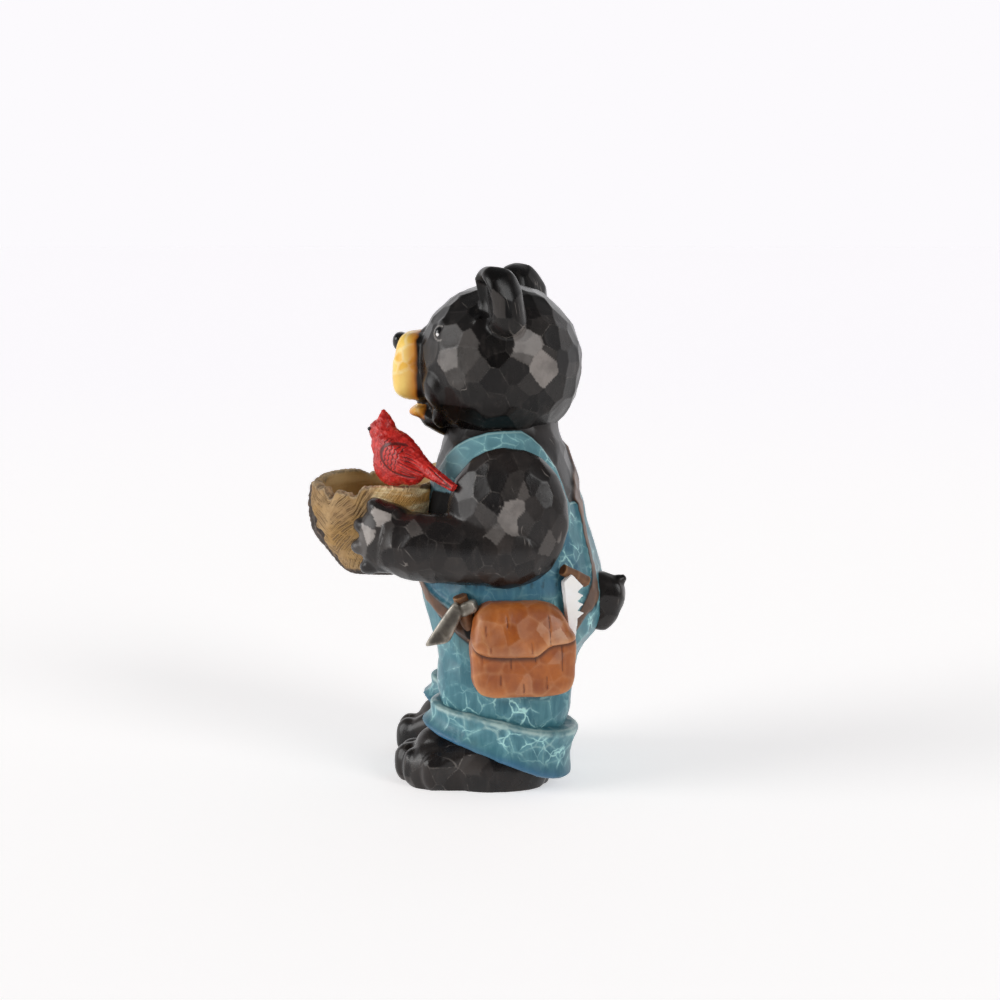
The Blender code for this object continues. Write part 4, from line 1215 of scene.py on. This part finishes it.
def flap_shape(unit):
    """Narrower and set back above. Its lower edge curls out, most at the corners, bows down, and is cut short
    at the back."""
    x, y, z = np.moveaxis(unit, -1, 0)
    up = (z + 1) / 2
    curl = (1 - up) ** 3
    out = x - 0.40 * up**2.5 + 0.18 * curl + 0.20 * curl * np.abs(y) ** 3
    across = y * (1 - 0.30 * up**1.5) - 0.13 * up
    low = z * (1 - (z < 0) * cut_short(y))
    return np.stack([out, across, low - FLAP_SAG * curl * (1 - y**2)], axis=-1)


def in_bag_frame(made):
    """Points with x out of the bag's face and y along it."""
    return turned(read_points(made) - np.array([BAG_X, BAG_Y, 0]), (0, 0, -BAG_TURN))


def upright_creases(made, marks, depth):
    """Thin cuts: each runs up the outer side at one place along Y, between two heights."""
    points, normals = read_points(made), read_normals(made)
    x, y, z = in_bag_frame(made).T
    cutting = np.zeros(len(points))
    for place, low, high in marks:
        line = np.exp(-(((y - place + 0.04 * (z - low)) / 0.7) ** 2))
        cutting = np.maximum(cutting, line * rise(z - low, 3) * rise(high - z, 3))
    cutting *= rise(normals[:, 0], 0.4)
    write_points(made, points - normals * depth * cutting[:, None])
    write_values(made, "crease", cutting)


def shadow_below_flap(made):
    """Painted shadow on the pouch: 0.75 just below the flap's lower edge, 0 from 5 mm below it. The edge has
    the flap's own shape.
    """
    x, y, z = in_bag_frame(made).T
    y = np.clip((y - 2) / HALF_WIDTH, -1, 1)
    low = (1 - np.abs(y) ** FLAP_POWER) ** (1 / FLAP_POWER) * (1 - cut_short(y)) + FLAP_SAG * (1 - y**2)
    return 0.75 * rise(z - (FLAP_PLACE[2] - FLAP_SIZE[2] * low - 5), 5) * rise(x, 10)


turn = (0, 0, BAG_TURN)
pouch = skin("bag_pouch", [ball(POUCH_PLACE, POUCH_SIZE, 5.0, turn, pouch_shape)], 1.2)
flap = skin("bag_flap", [ball(FLAP_PLACE, FLAP_SIZE, FLAP_POWER, turn, flap_shape)], 1.15)
bag = [pouch, flap]
for made, seed, marks, pale in ((pouch, 60, POUCH_MARKS, ()), (flap, 61, FLAP_MARKS, FLAP_WEAR_AND_SHEEN)):
    knife_cuts(made, 17, 0.0045, seed, tilt=0.03, deepest=0.8, wear_and_glint=pale, rare=0.2)
    upright_creases(made, marks, 0.7)
    keep_edges(made)
    write_values(made, "shadow_under_flap", shadow_below_flap(made) * (made is pouch))
    print(made.name, count_faces(made), "triangles")


def make_bag_paint():
    """Leather, pale on its edges, dark in the creases, and a painted shadow under the flap."""
    made, tree, shader = start_material("bag_paint")
    colour = leather_colour(tree, "8a4110", "b5631f", "dcb394")
    edge = times(tree, kept(tree, "edge"), blotches(tree, 50.0, 3.0, 0.3, 0.6, 0.2, 0.8))
    colour = mix(tree, edge, colour, "d29a68")
    colour = mix(tree, mask(tree, kept(tree, "crease"), 0.35, 0.9, 0.0, 0.75), colour, "3f1d0c")
    # Painted shadow on the pouch under the flap's edge.
    colour = mix(tree, kept(tree, "shadow_under_flap"), colour, "2f1508")
    finish_material(tree, shader, colour, mask(tree, kept(tree, "cut"), 0.0, 1.0, 0.30, 0.48), 0.0004)
    return made


bag_paint = make_bag_paint()

# %% [markdown]
# ## Hammer and saw
# Both tools stick out of the bag. The hammer's head is a block that flares towards its front end, and the saw
# is a flat outline with teeth. A flat outline is two rings of the same points, one thickness apart.


# %% Tools
def hammer_shape(unit):
    """z grows and x shrinks towards the lower end, like a cheek drawn out into a blade, and the end is cut
    off at a slant: y moves by -0.38 z there."""
    x, y, z = np.moveaxis(unit, -1, 0)
    forward = (1 - y) / 2
    return np.stack([x * (1 - 0.55 * forward), y - 0.38 * forward * z, z * (0.68 + 0.32 * forward)], axis=-1)


hammer_y, hammer_z = BAG_FRONT - 19, BAG_TOP - 30
hammer_forms = [
    ball((BAG_X + 10, hammer_y, hammer_z), (9, 24, 10.5), 6.0, (60, 0, 4), hammer_shape),
    ball((BAG_X + 8, hammer_y + 20, hammer_z + 17), (9, 9.5, 7), 4.0, (24, 0, 0)),
]
hammer_head = skin("hammer_head", hammer_forms, 1.0)
knife_cuts(hammer_head, 26, 0.003, 70, deepest=0.25, rare=0.15)
stem = [
    (BAG_X - 6, hammer_y + 23, hammer_z - 16),
    (BAG_X, hammer_y + 16, hammer_z + 8),
    (BAG_X + 4, hammer_y + 10.5, hammer_z + 28),
]
hammer_handle = skin("hammer_handle", [limb(stem, [8, 8, 7.5])], 0.9, 2)
knife_cuts(hammer_handle, 9, 0.012, 71, deepest=0.5)

saw_x, saw_y, saw_z = BAG_X - 17, BAG_BACK - 7, BAG_TOP - 8
SAW_HALF_THICKNESS = 4.0


def saw_outline():
    """(across, up) round the blade: the tang in the pouch, its straight back, the point and four teeth."""
    teeth = [(12 - tooth, 14 - 9 * tooth) for tooth in range(4)]
    edge = [corner for across, up in teeth for corner in ((across, up), (across - 8, up - 5))]
    back = [(-15, -38), (-9, -20), (-9, 22), (0, 28), (7, 20)]
    return np.array([*back, *edge, (2, -20), (-3, -38)], float)[::-1]


flat = saw_outline()
faces_of_blade = (-SAW_HALF_THICKNESS, SAW_HALF_THICKNESS)
sides = np.stack([np.column_stack([flat, np.full(len(flat), depth)]) for depth in faces_of_blade])
stood = turned(turned(turned(sides, (0, 0, 6)), (90, 0, 0)), (0, 0, 125)) + (saw_x, saw_y, saw_z)
saw_blade = skin("saw_blade", [stood], 0.8, 1)
grip = [
    (saw_x + 3, saw_y - 10, saw_z + 32),
    (saw_x - 8, saw_y + 2, saw_z + 24),
    (saw_x - 18, saw_y + 11, saw_z + 17),
]
saw_grip = skin("saw_grip", [limb(grip, [6, 6, 6])], 0.9, 2)
knife_cuts(saw_blade, 8, 0.01, 72, deepest=0.4)
knife_cuts(saw_grip, 9, 0.01, 73, deepest=0.4)
for made in (hammer_head, hammer_handle, saw_blade, saw_grip):
    keep_edges(made)
    print(made.name, count_faces(made), "triangles")


def make_plain_paint(name, dark, light, wear_and_glint, roughness, metallic=0.0):
    """One paint in two tones by cut, with pale worn edges."""
    made, tree, shader = start_material(name)
    shader.inputs["Metallic"].default_value = metallic
    edge = times(tree, kept(tree, "edge"), blotches(tree, 90.0, 3.0, 0.3, 0.6, 0.2, 0.9))
    colour = mix(tree, edge, leather_colour(tree, dark, light, wear_and_glint, 0.0), wear_and_glint)
    finish_material(tree, shader, colour, roughness, 0.0004)
    return made


pewter_paint = make_plain_paint("pewter_paint", "2a251f", "575045", "cfc8ba", 0.30, 0.3)
wooden_handle_paint = make_plain_paint("wooden_handle_paint", "4f3018", "7a4a26", "9c6e44", 0.5)
white_paint = make_plain_paint("white_blade_paint", "fbf8f2", "ffffff", "ffffff", 0.6)

# %% [markdown]
# ## The stump bowl
# The bowl is a hollow piece of log. Its side is a turned profile, drawn out to a rounded oblong and bent a
# little round the belly. One grid covers it all: up the inside, over the rim and down the outside, with the
# wall's thickness kept between.


# %% Bowl
BOWL_DEPTH, BOWL_HEIGHT, BOWL_WALL, BOWL_FLOOR = 140, 98, 11, 12
RIM_HEIGHT = 305
BOWL_CENTRE_Y = -82 + 24 - BOWL_DEPTH / 2
BOWL_WRAP, BOWL_ROUND = 10, 3.4
RIM_TEAR, RIM_CREST, CREST_AT = 13, 10, 135
# Where the rim is torn: the direction in degrees, the half width in degrees and the share of the depth.
RIM_TEARS = ((-22, 24, 1.0), (-75, 30, 0.45), (195, 26, 0.5))
# The share of the height where the side ends and the round of the lip starts.
LIP_SHARE = 0.985
# Each station is a share of the height and the share of the half depth that the side has there.
BOWL_SIDE = (
    (0.0, 0.42),
    (0.05, 0.52),
    (0.14, 0.62),
    (0.28, 0.76),
    (0.46, 0.93),
    (0.68, 0.99),
    (0.90, 0.985),
    (1.0, 0.96),
)


def bowl_side(share):
    """The outer half depth at a share of the height."""
    knots = np.array(BOWL_SIDE)
    return smooth_between(knots[:, 0], knots[:, 1], share) * BOWL_DEPTH / 2


def bowl_plan(turn):
    """How far the outer plan reaches in a direction: |x/w|^r + |y/d|^r = 1."""
    wide = np.abs(np.cos(turn)) / (BOWL_WIDTH / 2)
    deep = np.abs(np.sin(turn)) / (BOWL_DEPTH / 2)
    return (wide**BOWL_ROUND + deep**BOWL_ROUND) ** (-1 / BOWL_ROUND)


def around_from(turn, middle):
    """The angle between a direction and one given in degrees, without its sign."""
    return np.abs((turn - math.radians(middle) + math.pi) % (2 * math.pi) - math.pi)


def torn_rim(turn):
    """How much of the rim is torn off in a direction: 0 to 1, ragged by two sines."""
    torn = 0
    for middle, half_width, depth in RIM_TEARS:
        away = around_from(turn, middle)
        torn = np.maximum(torn, depth * rise(math.radians(half_width) - away, math.radians(16)))
    return torn * (0.6 + 0.25 * np.sin(turn * 23) + 0.15 * np.sin(turn * 37 + 1))


def rim_crest(turn):
    """1 at the highest place of the rim, and 0 from 38 degrees away."""
    return rise(math.radians(38) - around_from(turn, CREST_AT), math.radians(34))


def bowl_grid(around=400, below=12, up_inside=34, down_outside=132, foot=8):
    """Rings from the middle of the floor inside, up, over the rim, down the outside and under the foot. wall
    is 0 inside, goes to 1 over the lip, is 1 outside and 2 under the foot."""
    floor = BOWL_FLOOR / BOWL_HEIGHT
    inner = np.linspace(floor, LIP_SHARE, up_inside)
    outer = np.linspace(LIP_SHARE, 0.0, down_outside)
    over = np.linspace(0, 1, 12)[1:-1]
    radius = [np.linspace(0.5, bowl_side(floor) - BOWL_WALL, below), bowl_side(inner) - BOWL_WALL]
    radius += [bowl_side(LIP_SHARE) - BOWL_WALL + BOWL_WALL * over, bowl_side(outer)]
    radius.append(np.linspace(bowl_side(0.0), 0.5, foot + 1)[1:])
    lip = LIP_SHARE + (1 - LIP_SHARE) * np.sin(math.pi * over)
    share = [np.full(below, floor), inner, lip, outer, np.zeros(foot)]
    wall = [np.zeros(below + up_inside), over, np.ones(down_outside), np.full(foot, 2.0)]
    radius, share, wall = (np.concatenate(values)[:, None] for values in (radius, share, wall))
    turn = np.linspace(0, 2 * math.pi, around, endpoint=False)[None]
    return radius, share, wall, turn


def place_bowl(radius, share, turn):
    """Turned points moved to the log's plan: x and y stretched to the oblong, y bent by wrap (x / half
    width)²."""
    stretch = bowl_plan(turn) / (BOWL_DEPTH / 2)
    x = radius * stretch * np.cos(turn)
    y = radius * stretch * np.sin(turn)
    y = y + BOWL_WRAP * (x / (BOWL_WIDTH / 2)) ** 2 + BOWL_CENTRE_Y
    z = RIM_HEIGHT - BOWL_HEIGHT + BOWL_HEIGHT * share
    height = RIM_CREST * rim_crest(turn) - RIM_TEAR * torn_rim(turn)
    z = z + height * rise(share - 0.45, 0.55)
    return np.stack([x, y, z + 0 * turn], axis=-1)


def log_carving(share, wall, turn):
    """How deep the surface is cut, in millimetres, two masks, broken end and inside, and slant, whose level
    lines are the splits.
    Over the broken ends splits run down to both sides of a middle line, like the barbs of a feather. The bark
    in front, behind and below has upright furrows."""
    outside = (wall >= 0.5) & (wall <= 1.0)
    side = np.where(np.cos(turn) > 0, turn, math.pi - turn)
    side = (side + math.pi) % (2 * math.pi) - math.pi
    across = side * BOWL_WIDTH / 2
    up = share * BOWL_HEIGHT
    spot = np.stack([across + 0 * up, up + 0 * across, 0 * up * across], axis=-1)
    reach = 56 + 16 * rise(share - 0.45, 0.35) + 5 * ripple(spot, 14, 80)
    at_end = rise(reach - np.abs(across), 4) * rise(share - 0.04, 0.06)
    middle = across + 42 + 3 * np.sin(share * 7)
    wobble = ripple(spot, 60, 81) * 0.25 + ripple(spot, 14, 82) * 0.04
    slant = up - 1.0 * np.abs(middle)
    strong = 0.35 + 0.65 * rise(ripple(spot, 26, 87) + 0.35, 0.7)
    gouges = (1 - np.abs(np.sin(math.pi * (slant / 7.5 + wobble)))) ** 3
    ticks = (1 - np.abs(np.sin(across / 1.3))) ** 2 * rise(share - 0.86, 0.1)
    splits = 1.4 * gouges * strong + 0.5 * ticks
    furrow_phase = turn * 17 + 1.6 * ripple(spot, 30, 83)
    furrows = 1.6 * np.abs(np.sin(furrow_phase)) ** 0.6 + 0.9 * np.abs(ripple(spot, 7, 84))
    grain = 0.35 * np.abs(np.sin(turn * 60 + 2 * ripple(spot, 40, 85)))
    depth = np.where(outside, splits * at_end + furrows * (1 - at_end), grain)
    depth = depth * rise(1.0 - share, 0.02) + 0 * turn
    return depth, at_end * outside, (wall < 0.5) + 0 * turn, slant + 0 * turn


radius, share, wall, turn = bowl_grid()
grid = place_bowl(radius, share, turn)
depth, broken, inside, slant = log_carving(share, wall, turn)
inward = np.stack([-np.cos(turn), -np.sin(turn), 0 * turn], axis=-1)
hollow_side = np.where(wall < 0.5, -1.0, 1.0)
splinters = ripple(np.stack([turn * 60, 0 * turn, 0 * turn], -1)[0], 3.0, 86)[None] * 1.6
on_rim = rise(share - 0.93, 0.06) * (0.25 + torn_rim(turn))
grid = grid + inward * (depth * hollow_side * (wall <= 1.0))[..., None]
grid[..., 2] += on_rim * splinters
points, faces = sew([grid[::-1]])
stump_bowl = add_object("bowl", in_metres(points), faces)


def keep_grid_values(made, name, values):
    """Values on the grid, in the order of the sewn points, with the two end points at the back."""
    flat = (values + 0 * grid[..., 0])[::-1].reshape(-1)
    write_values(made, name, np.concatenate([flat, flat[:1], flat[-1:]]))


# The crack's two ends in y and z, its half width, and the piece of rim under the bird, in degrees.
CRACK_FROM, CRACK_TO, CRACK_HALF = np.array([-68.0, 304.0]), np.array([-50.6, 298.5]), 2.2
PERCH_MIDDLE, PERCH_REACH = 34, 34
at_perch = rise(math.radians(PERCH_REACH) - around_from(turn, PERCH_MIDDLE), 0.14) * rise(share - 0.60, 0.1)
crack = CRACK_TO - CRACK_FROM
run = np.clip((grid[..., 1:] - CRACK_FROM) @ crack / (crack @ crack), 0, 1)
from_crack = np.linalg.norm(grid[..., 1:] - CRACK_FROM - run[..., None] * crack, axis=-1)
bowl_masks = {
    "slant": slant,
    "broken": broken,
    "inside": inside,
    "depth": depth,
    "rim": rise(share - 0.955, 0.03),
    "perch": at_perch * (wall > 0.03),
    "crack": rise(CRACK_HALF - from_crack, 1.0) * (grid[..., 0] > 40) * (wall > 0.5),
}
for name, values in bowl_masks.items():
    keep_grid_values(stump_bowl, name, values)
print("bowl:", count_faces(stump_bowl), "triangles")


def make_wood_paint():
    """Tan splits washed with dark stain, grey-brown bark, pale wood under the bird made paler with painted
    light, and an olive inside made light with painted light.
    """
    made, tree, shader = start_material("log_paint")
    narrow = effect(tree, split_lines, {"Slant": kept(tree, "slant"), "Spacing": 2.3, "Width": 0.8})
    wide = effect(tree, split_lines, {"Slant": kept(tree, "slant"), "Spacing": 7.1, "Width": 1.2})
    lines = calculate(tree, "MAXIMUM", times(tree, narrow, 0.6), wide)
    lines = times(tree, lines, kept(tree, "broken"))
    deep = mask(tree, kept(tree, "depth"), 0.35, 1.5)
    tan = mix(tree, blotches(tree, 40.0, 4.0, 0.35, 0.7), "a28054", "bd9c6e")
    tan = mix(tree, blotches(tree, 26.0, 3.0, 0.45, 0.65, 0.0, 0.6), tan, "a8803f")
    tan = mix(tree, times(tree, deep, 0.7), tan, "543a1c")
    tan = mix(tree, times(tree, lines, 0.75), tan, "4a3218")
    bark = mix(tree, blotches(tree, 120.0, 4.0, 0.35, 0.7), "4a3a30", "85705f")
    bark = mix(tree, times(tree, deep, 0.8), bark, "1f1712")
    streaks = noise(tree, 60.0, 4.0, (0.18, 0.18, 1.0))
    # The inside's olive stain, made light as painted light in the deep hollow.
    olive = mix(tree, mask(tree, streaks, 0.35, 0.7), "b8935a", "e8cb94")
    # Wood under the bird: pale of itself, and lighter still as painted light against the bird's shadow.
    under_bird_lightened = blotches(tree, 90.0, 5.0, 0.38, 0.62, stretch=(0.25, 0.25, 1.0))
    colour = mix(tree, kept(tree, "broken"), bark, tan)
    colour = mix(tree, kept(tree, "perch"), colour, mix(tree, under_bird_lightened, "c0934e", "fff0c0"))
    colour = mix(tree, kept(tree, "inside"), colour, olive)
    grey = mix(tree, blotches(tree, 200.0, 3.0, 0.4, 0.6), "8a7862", "c4ab86")
    rim = times(tree, kept(tree, "rim"), calculate(tree, "SUBTRACT", 1.0, kept(tree, "perch")))
    colour = mix(tree, times(tree, rim, 0.8), colour, grey)
    colour = mix(tree, times(tree, kept(tree, "crack"), 0.85), colour, "2c1c10")
    height = calculate(tree, "ADD", effect(tree, fine_grain, {"Strength": 1.0}), streaks)
    height = calculate(tree, "SUBTRACT", height, lines)
    finish_material(tree, shader, colour, 0.72, 0.0006, height=height)
    return made


log_paint = make_wood_paint()

# %% [markdown]
# ## The cardinal
# The bird has its own frame: x across, y towards the tail and z up from its perch, in millimetres on a bird
# 78 tall. Its feathers are cut into the skin: rows of scales over the shoulder, long parallel barbs down the
# wing.


# %% Cardinal
PERCH_TURN, HEADING_TURN = 22.5, -28
SCALE_STEP, SCALE_WIDTH, BARB_STEP, WING_HALF = 5.0, 5.5, 3.0, 33


def cardinal_grids():
    """Back, belly, breast, head, crest, bill and tail, then the shoulder and the wing tip of each side."""
    grids = [
        ball((0, 2, 30), (17, 34, 22), 2.0, (-40, 0, 0)),
        ball((0, -7, 24), (16, 24, 24), 2.0, (-25, 0, 0)),
        ball((0, -15, 42), (14, 18, 19), 2.0, (-30, 0, 0)),
        ball((0, -21, 54), (13, 15, 13), 2.0, (-10, 0, 0)),
        limb([(0, -19, 56), (0, -19, 66), (0, -21, 76)], [13, 8, 1.4]),
        limb([(0, -31, 57), (0, -36, 56), (0, -39.5, 55)], [5.5, 3.5, 1.2]),
        limb([(0, 18, 28), (0, 42, 17), (0, 71, 4)], [12, 7.0, 4.2]),
    ]
    for side in (-1, 1):
        grids.append(ball((side * 12.5, 0, 33), (6.5, 23, 14), 2.2, (-34, 0, side * -4)))
        grids.append(limb([(side * 13, 10, 27), (side * 11, 24, 20), (side * 7, 38, 15)], [7, 5, 2]))
    return grids


def perch():
    """The middle of the rim's wall in the perch's direction, at the rim's height."""
    turn = math.radians(PERCH_TURN)
    reach = bowl_plan(np.array(turn)) / (BOWL_DEPTH / 2) * (BOWL_DEPTH / 2 - BOWL_WALL / 2)
    x, y = reach * math.cos(turn), reach * math.sin(turn)
    return np.array([x, y + BOWL_WRAP * (x / (BOWL_WIDTH / 2)) ** 2 + BOWL_CENTRE_Y, RIM_HEIGHT])


def feather_cuts(local):
    """Depth of the feather lines, from 0 to 1, in the bird's own frame.
    a runs down the wing from the shoulder and b across it. Scales are arcs in staggered rows near the
    shoulder, and further down the lines follow b, a little closer together towards the tip."""
    x, y, z = local.T
    a = (y + 8) * 0.95 - (z - 36) * 0.31
    b = (y + 8) * 0.31 + (z - 36) * 0.95
    wing = rise(np.abs(x) - 6, 4) * rise(16 - np.abs(b), 3) * rise(a + 4, 4) * rise(70 - a, 6)
    row = np.floor(a / SCALE_STEP)
    u = b / SCALE_WIDTH + 0.5 * (row % 2)
    arc = (a / SCALE_STEP - row) - (1 - 4 * (u - np.floor(u) - 0.5) ** 2) * 0.45
    scales = np.exp(-((arc / 0.16) ** 2))
    barbs = np.exp(-((np.abs((b + 0.10 * a) / BARB_STEP % 1.0 - 0.5) / 0.13) ** 2))
    narrowing = 14 * (1 - 0.35 * (a - WING_HALF) / WING_HALF)
    border = np.exp(-(((np.hypot((a - WING_HALF) / WING_HALF, b / narrowing) - 1) / 0.08) ** 2))
    over = rise(a - 20, 8)
    lines = wing * np.maximum(scales * (1 - over), barbs * over)
    tail_lines = np.exp(-((np.abs(x / BARB_STEP % 1.0 - 0.5) / 0.14) ** 2)) * rise(y - 38, 6)
    return np.maximum(np.maximum(lines, border * rise(np.abs(x) - 5, 3)), tail_lines), wing


def bird_to_figure(points):
    """The bird's own frame to the figure's: turned to its heading, then moved onto the rim."""
    return turned(points, (0, 0, HEADING_TURN)) + perch()


cardinal = skin("red_bird", [bird_to_figure(grid) for grid in cardinal_grids()], 0.7, 2)
points, normals = read_points(cardinal), read_normals(cardinal)
local = turned(points - perch(), (0, 0, -HEADING_TURN))
lines, wing = feather_cuts(local)
down = ripple(local, 3.2, 91) * 0.22 + ripple(local, 6.0, 92) * 0.2
seat = points[:, 2] < RIM_HEIGHT + 0.3
points = points - normals * (0.7 * lines - down * (1 - wing))[:, None]
points[seat, 2] = np.maximum(points[seat, 2], RIM_HEIGHT - 9)
write_points(cardinal, points)
face = rise(6.5 - np.hypot(local[:, 1] + 35, local[:, 2] - 54), 2.5)
bill = rise(-36.5 - local[:, 1], 1.5)
for name, values in (("lines", lines), ("down", down), ("face", face), ("bill", bill)):
    write_values(cardinal, name, values)
print("bird:", count_faces(cardinal), "triangles")


def make_bird_paint():
    """Deep red with brighter down, dark brown in the feather lines, a dark mask and an orange-red bill."""
    made, tree, shader = start_material("cardinal_paint")
    red = mix(tree, blotches(tree, 160.0, 4.0, 0.35, 0.7), "a3130f", "d32a20")
    red = mix(tree, mask(tree, kept(tree, "down"), 0.0, 0.3, 0.0, 0.5), red, "e2433a")
    dark = times(tree, mask(tree, kept(tree, "lines"), 0.2, 0.8), 0.85)
    colour = mix(tree, dark, red, "3a0c0a")
    colour = mix(tree, kept(tree, "face"), colour, "2a0d0c")
    colour = mix(tree, kept(tree, "bill"), colour, "b8401f")
    finish_material(tree, shader, colour, 0.38, 0.0004)
    return made


cardinal_paint = make_bird_paint()
beads = [ball((side * 11.3, -29.5, 57), (1.7, 1.9, 1.9), rings=16, around=20) for side in (-1, 1)]
points, faces = sew([bird_to_figure(bead) for bead in beads])
bird_eye = add_object("bird_eyes", in_metres(points), faces)
print("bird's eyes:", count_faces(bird_eye), "triangles")

# %% [markdown]
# ## Putting the pieces on the body
# Every piece rides on the one body, says which solid it stands for and which slot of the record its finish
# belongs to. Smooth shading comes last, with each piece's paint.

# %% Ride, replace and paint
DRESS = [
    (head, "bear", "bear_black", head_paint),
    (nose, "bear", "eye_black", glossy_black_paint),
    (eyes[0], "bear", "eye_black", glossy_black_paint),
    (eyes[1], "bear", "eye_black", glossy_black_paint),
    (body, "bear", "overalls_blue", overalls_and_fur_paint),
    *((made, "bear", "overalls_blue", blue_cloth_paint) for made in turn_ups),
    *((made, "bear", "bear_black", black_fur_paint) for made in limbs),
    *((made, "bear", "bag_brown", bag_paint) for made in bag),
    (hammer_head, "bear", "tool_pewter", pewter_paint),
    (hammer_handle, "bear", "bag_brown", wooden_handle_paint),
    (saw_blade, "bear", "saw_white", white_paint),
    (saw_grip, "bear", "bag_brown", wooden_handle_paint),
    (stump_bowl, "stump_bowl", "split_wood", log_paint),
    (cardinal, "cardinal", "cardinal_red", cardinal_paint),
    (bird_eye, "cardinal", "eye_black", glossy_black_paint),
]
total = 0
for made, node, slot, paint in DRESS:
    made.data.materials.clear()
    made.data.materials.append(paint)
    made.data.shade_smooth()
    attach(made, "root")
    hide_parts(node)
    total += count_faces(made)
print("pieces:", len(DRESS), "triangles:", total)

# %% [markdown]
# ## Camera
# The photograph is taken from the bear's left, a little from the front, with the camera somewhat above the
# statue and tipped down. The values come from fitting known corners of the solid to their places in the
# picture.

# %% Camera
CAMERA_TURN = math.radians(10.113)
CAMERA_PITCH = math.radians(7.879)
CAMERA_DISTANCE = 2.0
EYE_HEIGHT = 0.560
FOCAL_IN_PIXELS = 1959.5
IMAGE_PIXELS = 1000
outward = np.array([math.cos(CAMERA_TURN), math.sin(CAMERA_TURN), 0.0])
right = np.array([-math.sin(CAMERA_TURN), math.cos(CAMERA_TURN), 0.0])
camera_data = bpy.data.cameras.new("camera")
camera_data.sensor_width = 36.0
camera_data.lens = FOCAL_IN_PIXELS / IMAGE_PIXELS * camera_data.sensor_width
camera = bpy.data.objects.new("camera", camera_data)
bpy.context.scene.collection.objects.link(camera)
camera.location = SPINE * U + outward * CAMERA_DISTANCE + np.array([0.0, 0.0, EYE_HEIGHT])
camera.rotation_euler = (math.pi / 2 - CAMERA_PITCH, 0.0, CAMERA_TURN + math.pi / 2)
bpy.context.scene.camera = camera
bpy.context.scene.view_settings.view_transform = "Standard"

# %% [markdown]
# ## Studio
# A pale floor runs on without an edge, and the sky behind it has the same tone, so the two meet without a
# line. The black fur shows what it mirrors. Its pale rims need a bright wall behind the bear, and its dark
# middle needs a dim room round the camera. The facets that shine on the cheek, the shoulder and the hand say
# where the soft boxes are: one low on the side that the bear looks to, and one higher up on the camera's
# right.


# %% Floor, sky and lamps
FLOOR_GLOW = (0.475, 0.47, 0.475)


def make_floor():
    """A wide disc that glows a little, so that it is as bright as the sky."""
    made, tree, shader = start_material("pale_floor")
    place = add_node(tree, "ShaderNodeTexCoord").outputs["Object"]
    away = add_node(tree, "ShaderNodeVectorMath", {0: place}, operation="LENGTH").outputs["Value"]
    tone = mix(tree, mask(tree, away, 0.5, 6.0), "f3f1ef", "f0edf1")
    finish_material(tree, shader, tone, 0.9, specular=0.0)
    shader.inputs["Emission Color"].default_value = (*FLOOR_GLOW, 1.0)
    shader.inputs["Emission Strength"].default_value = 1.0
    bpy.ops.mesh.primitive_circle_add(vertices=96, radius=60, fill_type="NGON", location=(0, 0, 0))
    floor = bpy.context.object
    floor.name = "floor"
    floor.data.materials.append(made)


def make_sky(behind, overhead, near):
    """Radiance by direction: bright behind the statue, dim round the camera, and white where it is seen."""
    world = bpy.data.worlds.new("studio")
    bpy.context.scene.world = world
    world.use_nodes = True
    tree = world.node_tree
    direction = add_node(tree, "ShaderNodeTexCoord").outputs["Generated"]
    inputs = {0: direction, 1: outward.tolist()}
    towards = add_node(tree, "ShaderNodeVectorMath", inputs, operation="DOT_PRODUCT")
    up = add_node(tree, "ShaderNodeSeparateXYZ", {0: direction}).outputs["Z"]
    tone = mix(tree, mask(tree, towards.outputs["Value"], -0.25, 0.45), (*behind, 1.0), (*near, 1.0))
    tone = mix(tree, mask(tree, up, 0.25, 0.65), tone, (*overhead, 1.0))
    seen = add_node(tree, "ShaderNodeLightPath").outputs["Is Camera Ray"]
    colour = mix(tree, seen, tone, "fcfafd")
    tree.links.new(colour, tree.nodes["Background"].inputs["Color"])
    tree.nodes["Background"].inputs["Strength"].default_value = 1.0


def add_soft_box(name, across, up, near, spread, strength):
    """Light from one direction, given as seen from the camera, spread over so many degrees. It is so far away
    that the floor is lit evenly."""
    data = bpy.data.lights.new(name, "SUN")
    data.angle = math.radians(spread)
    data.energy = strength
    made = bpy.data.objects.new(name, data)
    bpy.context.scene.collection.objects.link(made)
    source = right * across + outward * near + np.array([0.0, 0.0, up])
    made.location = source * 3
    slope = math.acos(source[2] / np.linalg.norm(source))
    made.rotation_euler = (slope, 0.0, math.atan2(source[1], source[0]) + math.pi / 2)


make_floor()
make_sky((1.05, 1.04, 1.06), (0.16, 0.16, 0.165), (0.10, 0.098, 0.096))
add_soft_box("soft_box_left", -0.90, 0.30, 0.30, 40, 1.75)
add_soft_box("soft_box_right", 0.61, 0.45, 0.65, 26, 0.85)
add_soft_box("soft_box_behind", 0.10, 0.60, -0.80, 50, 0.12)
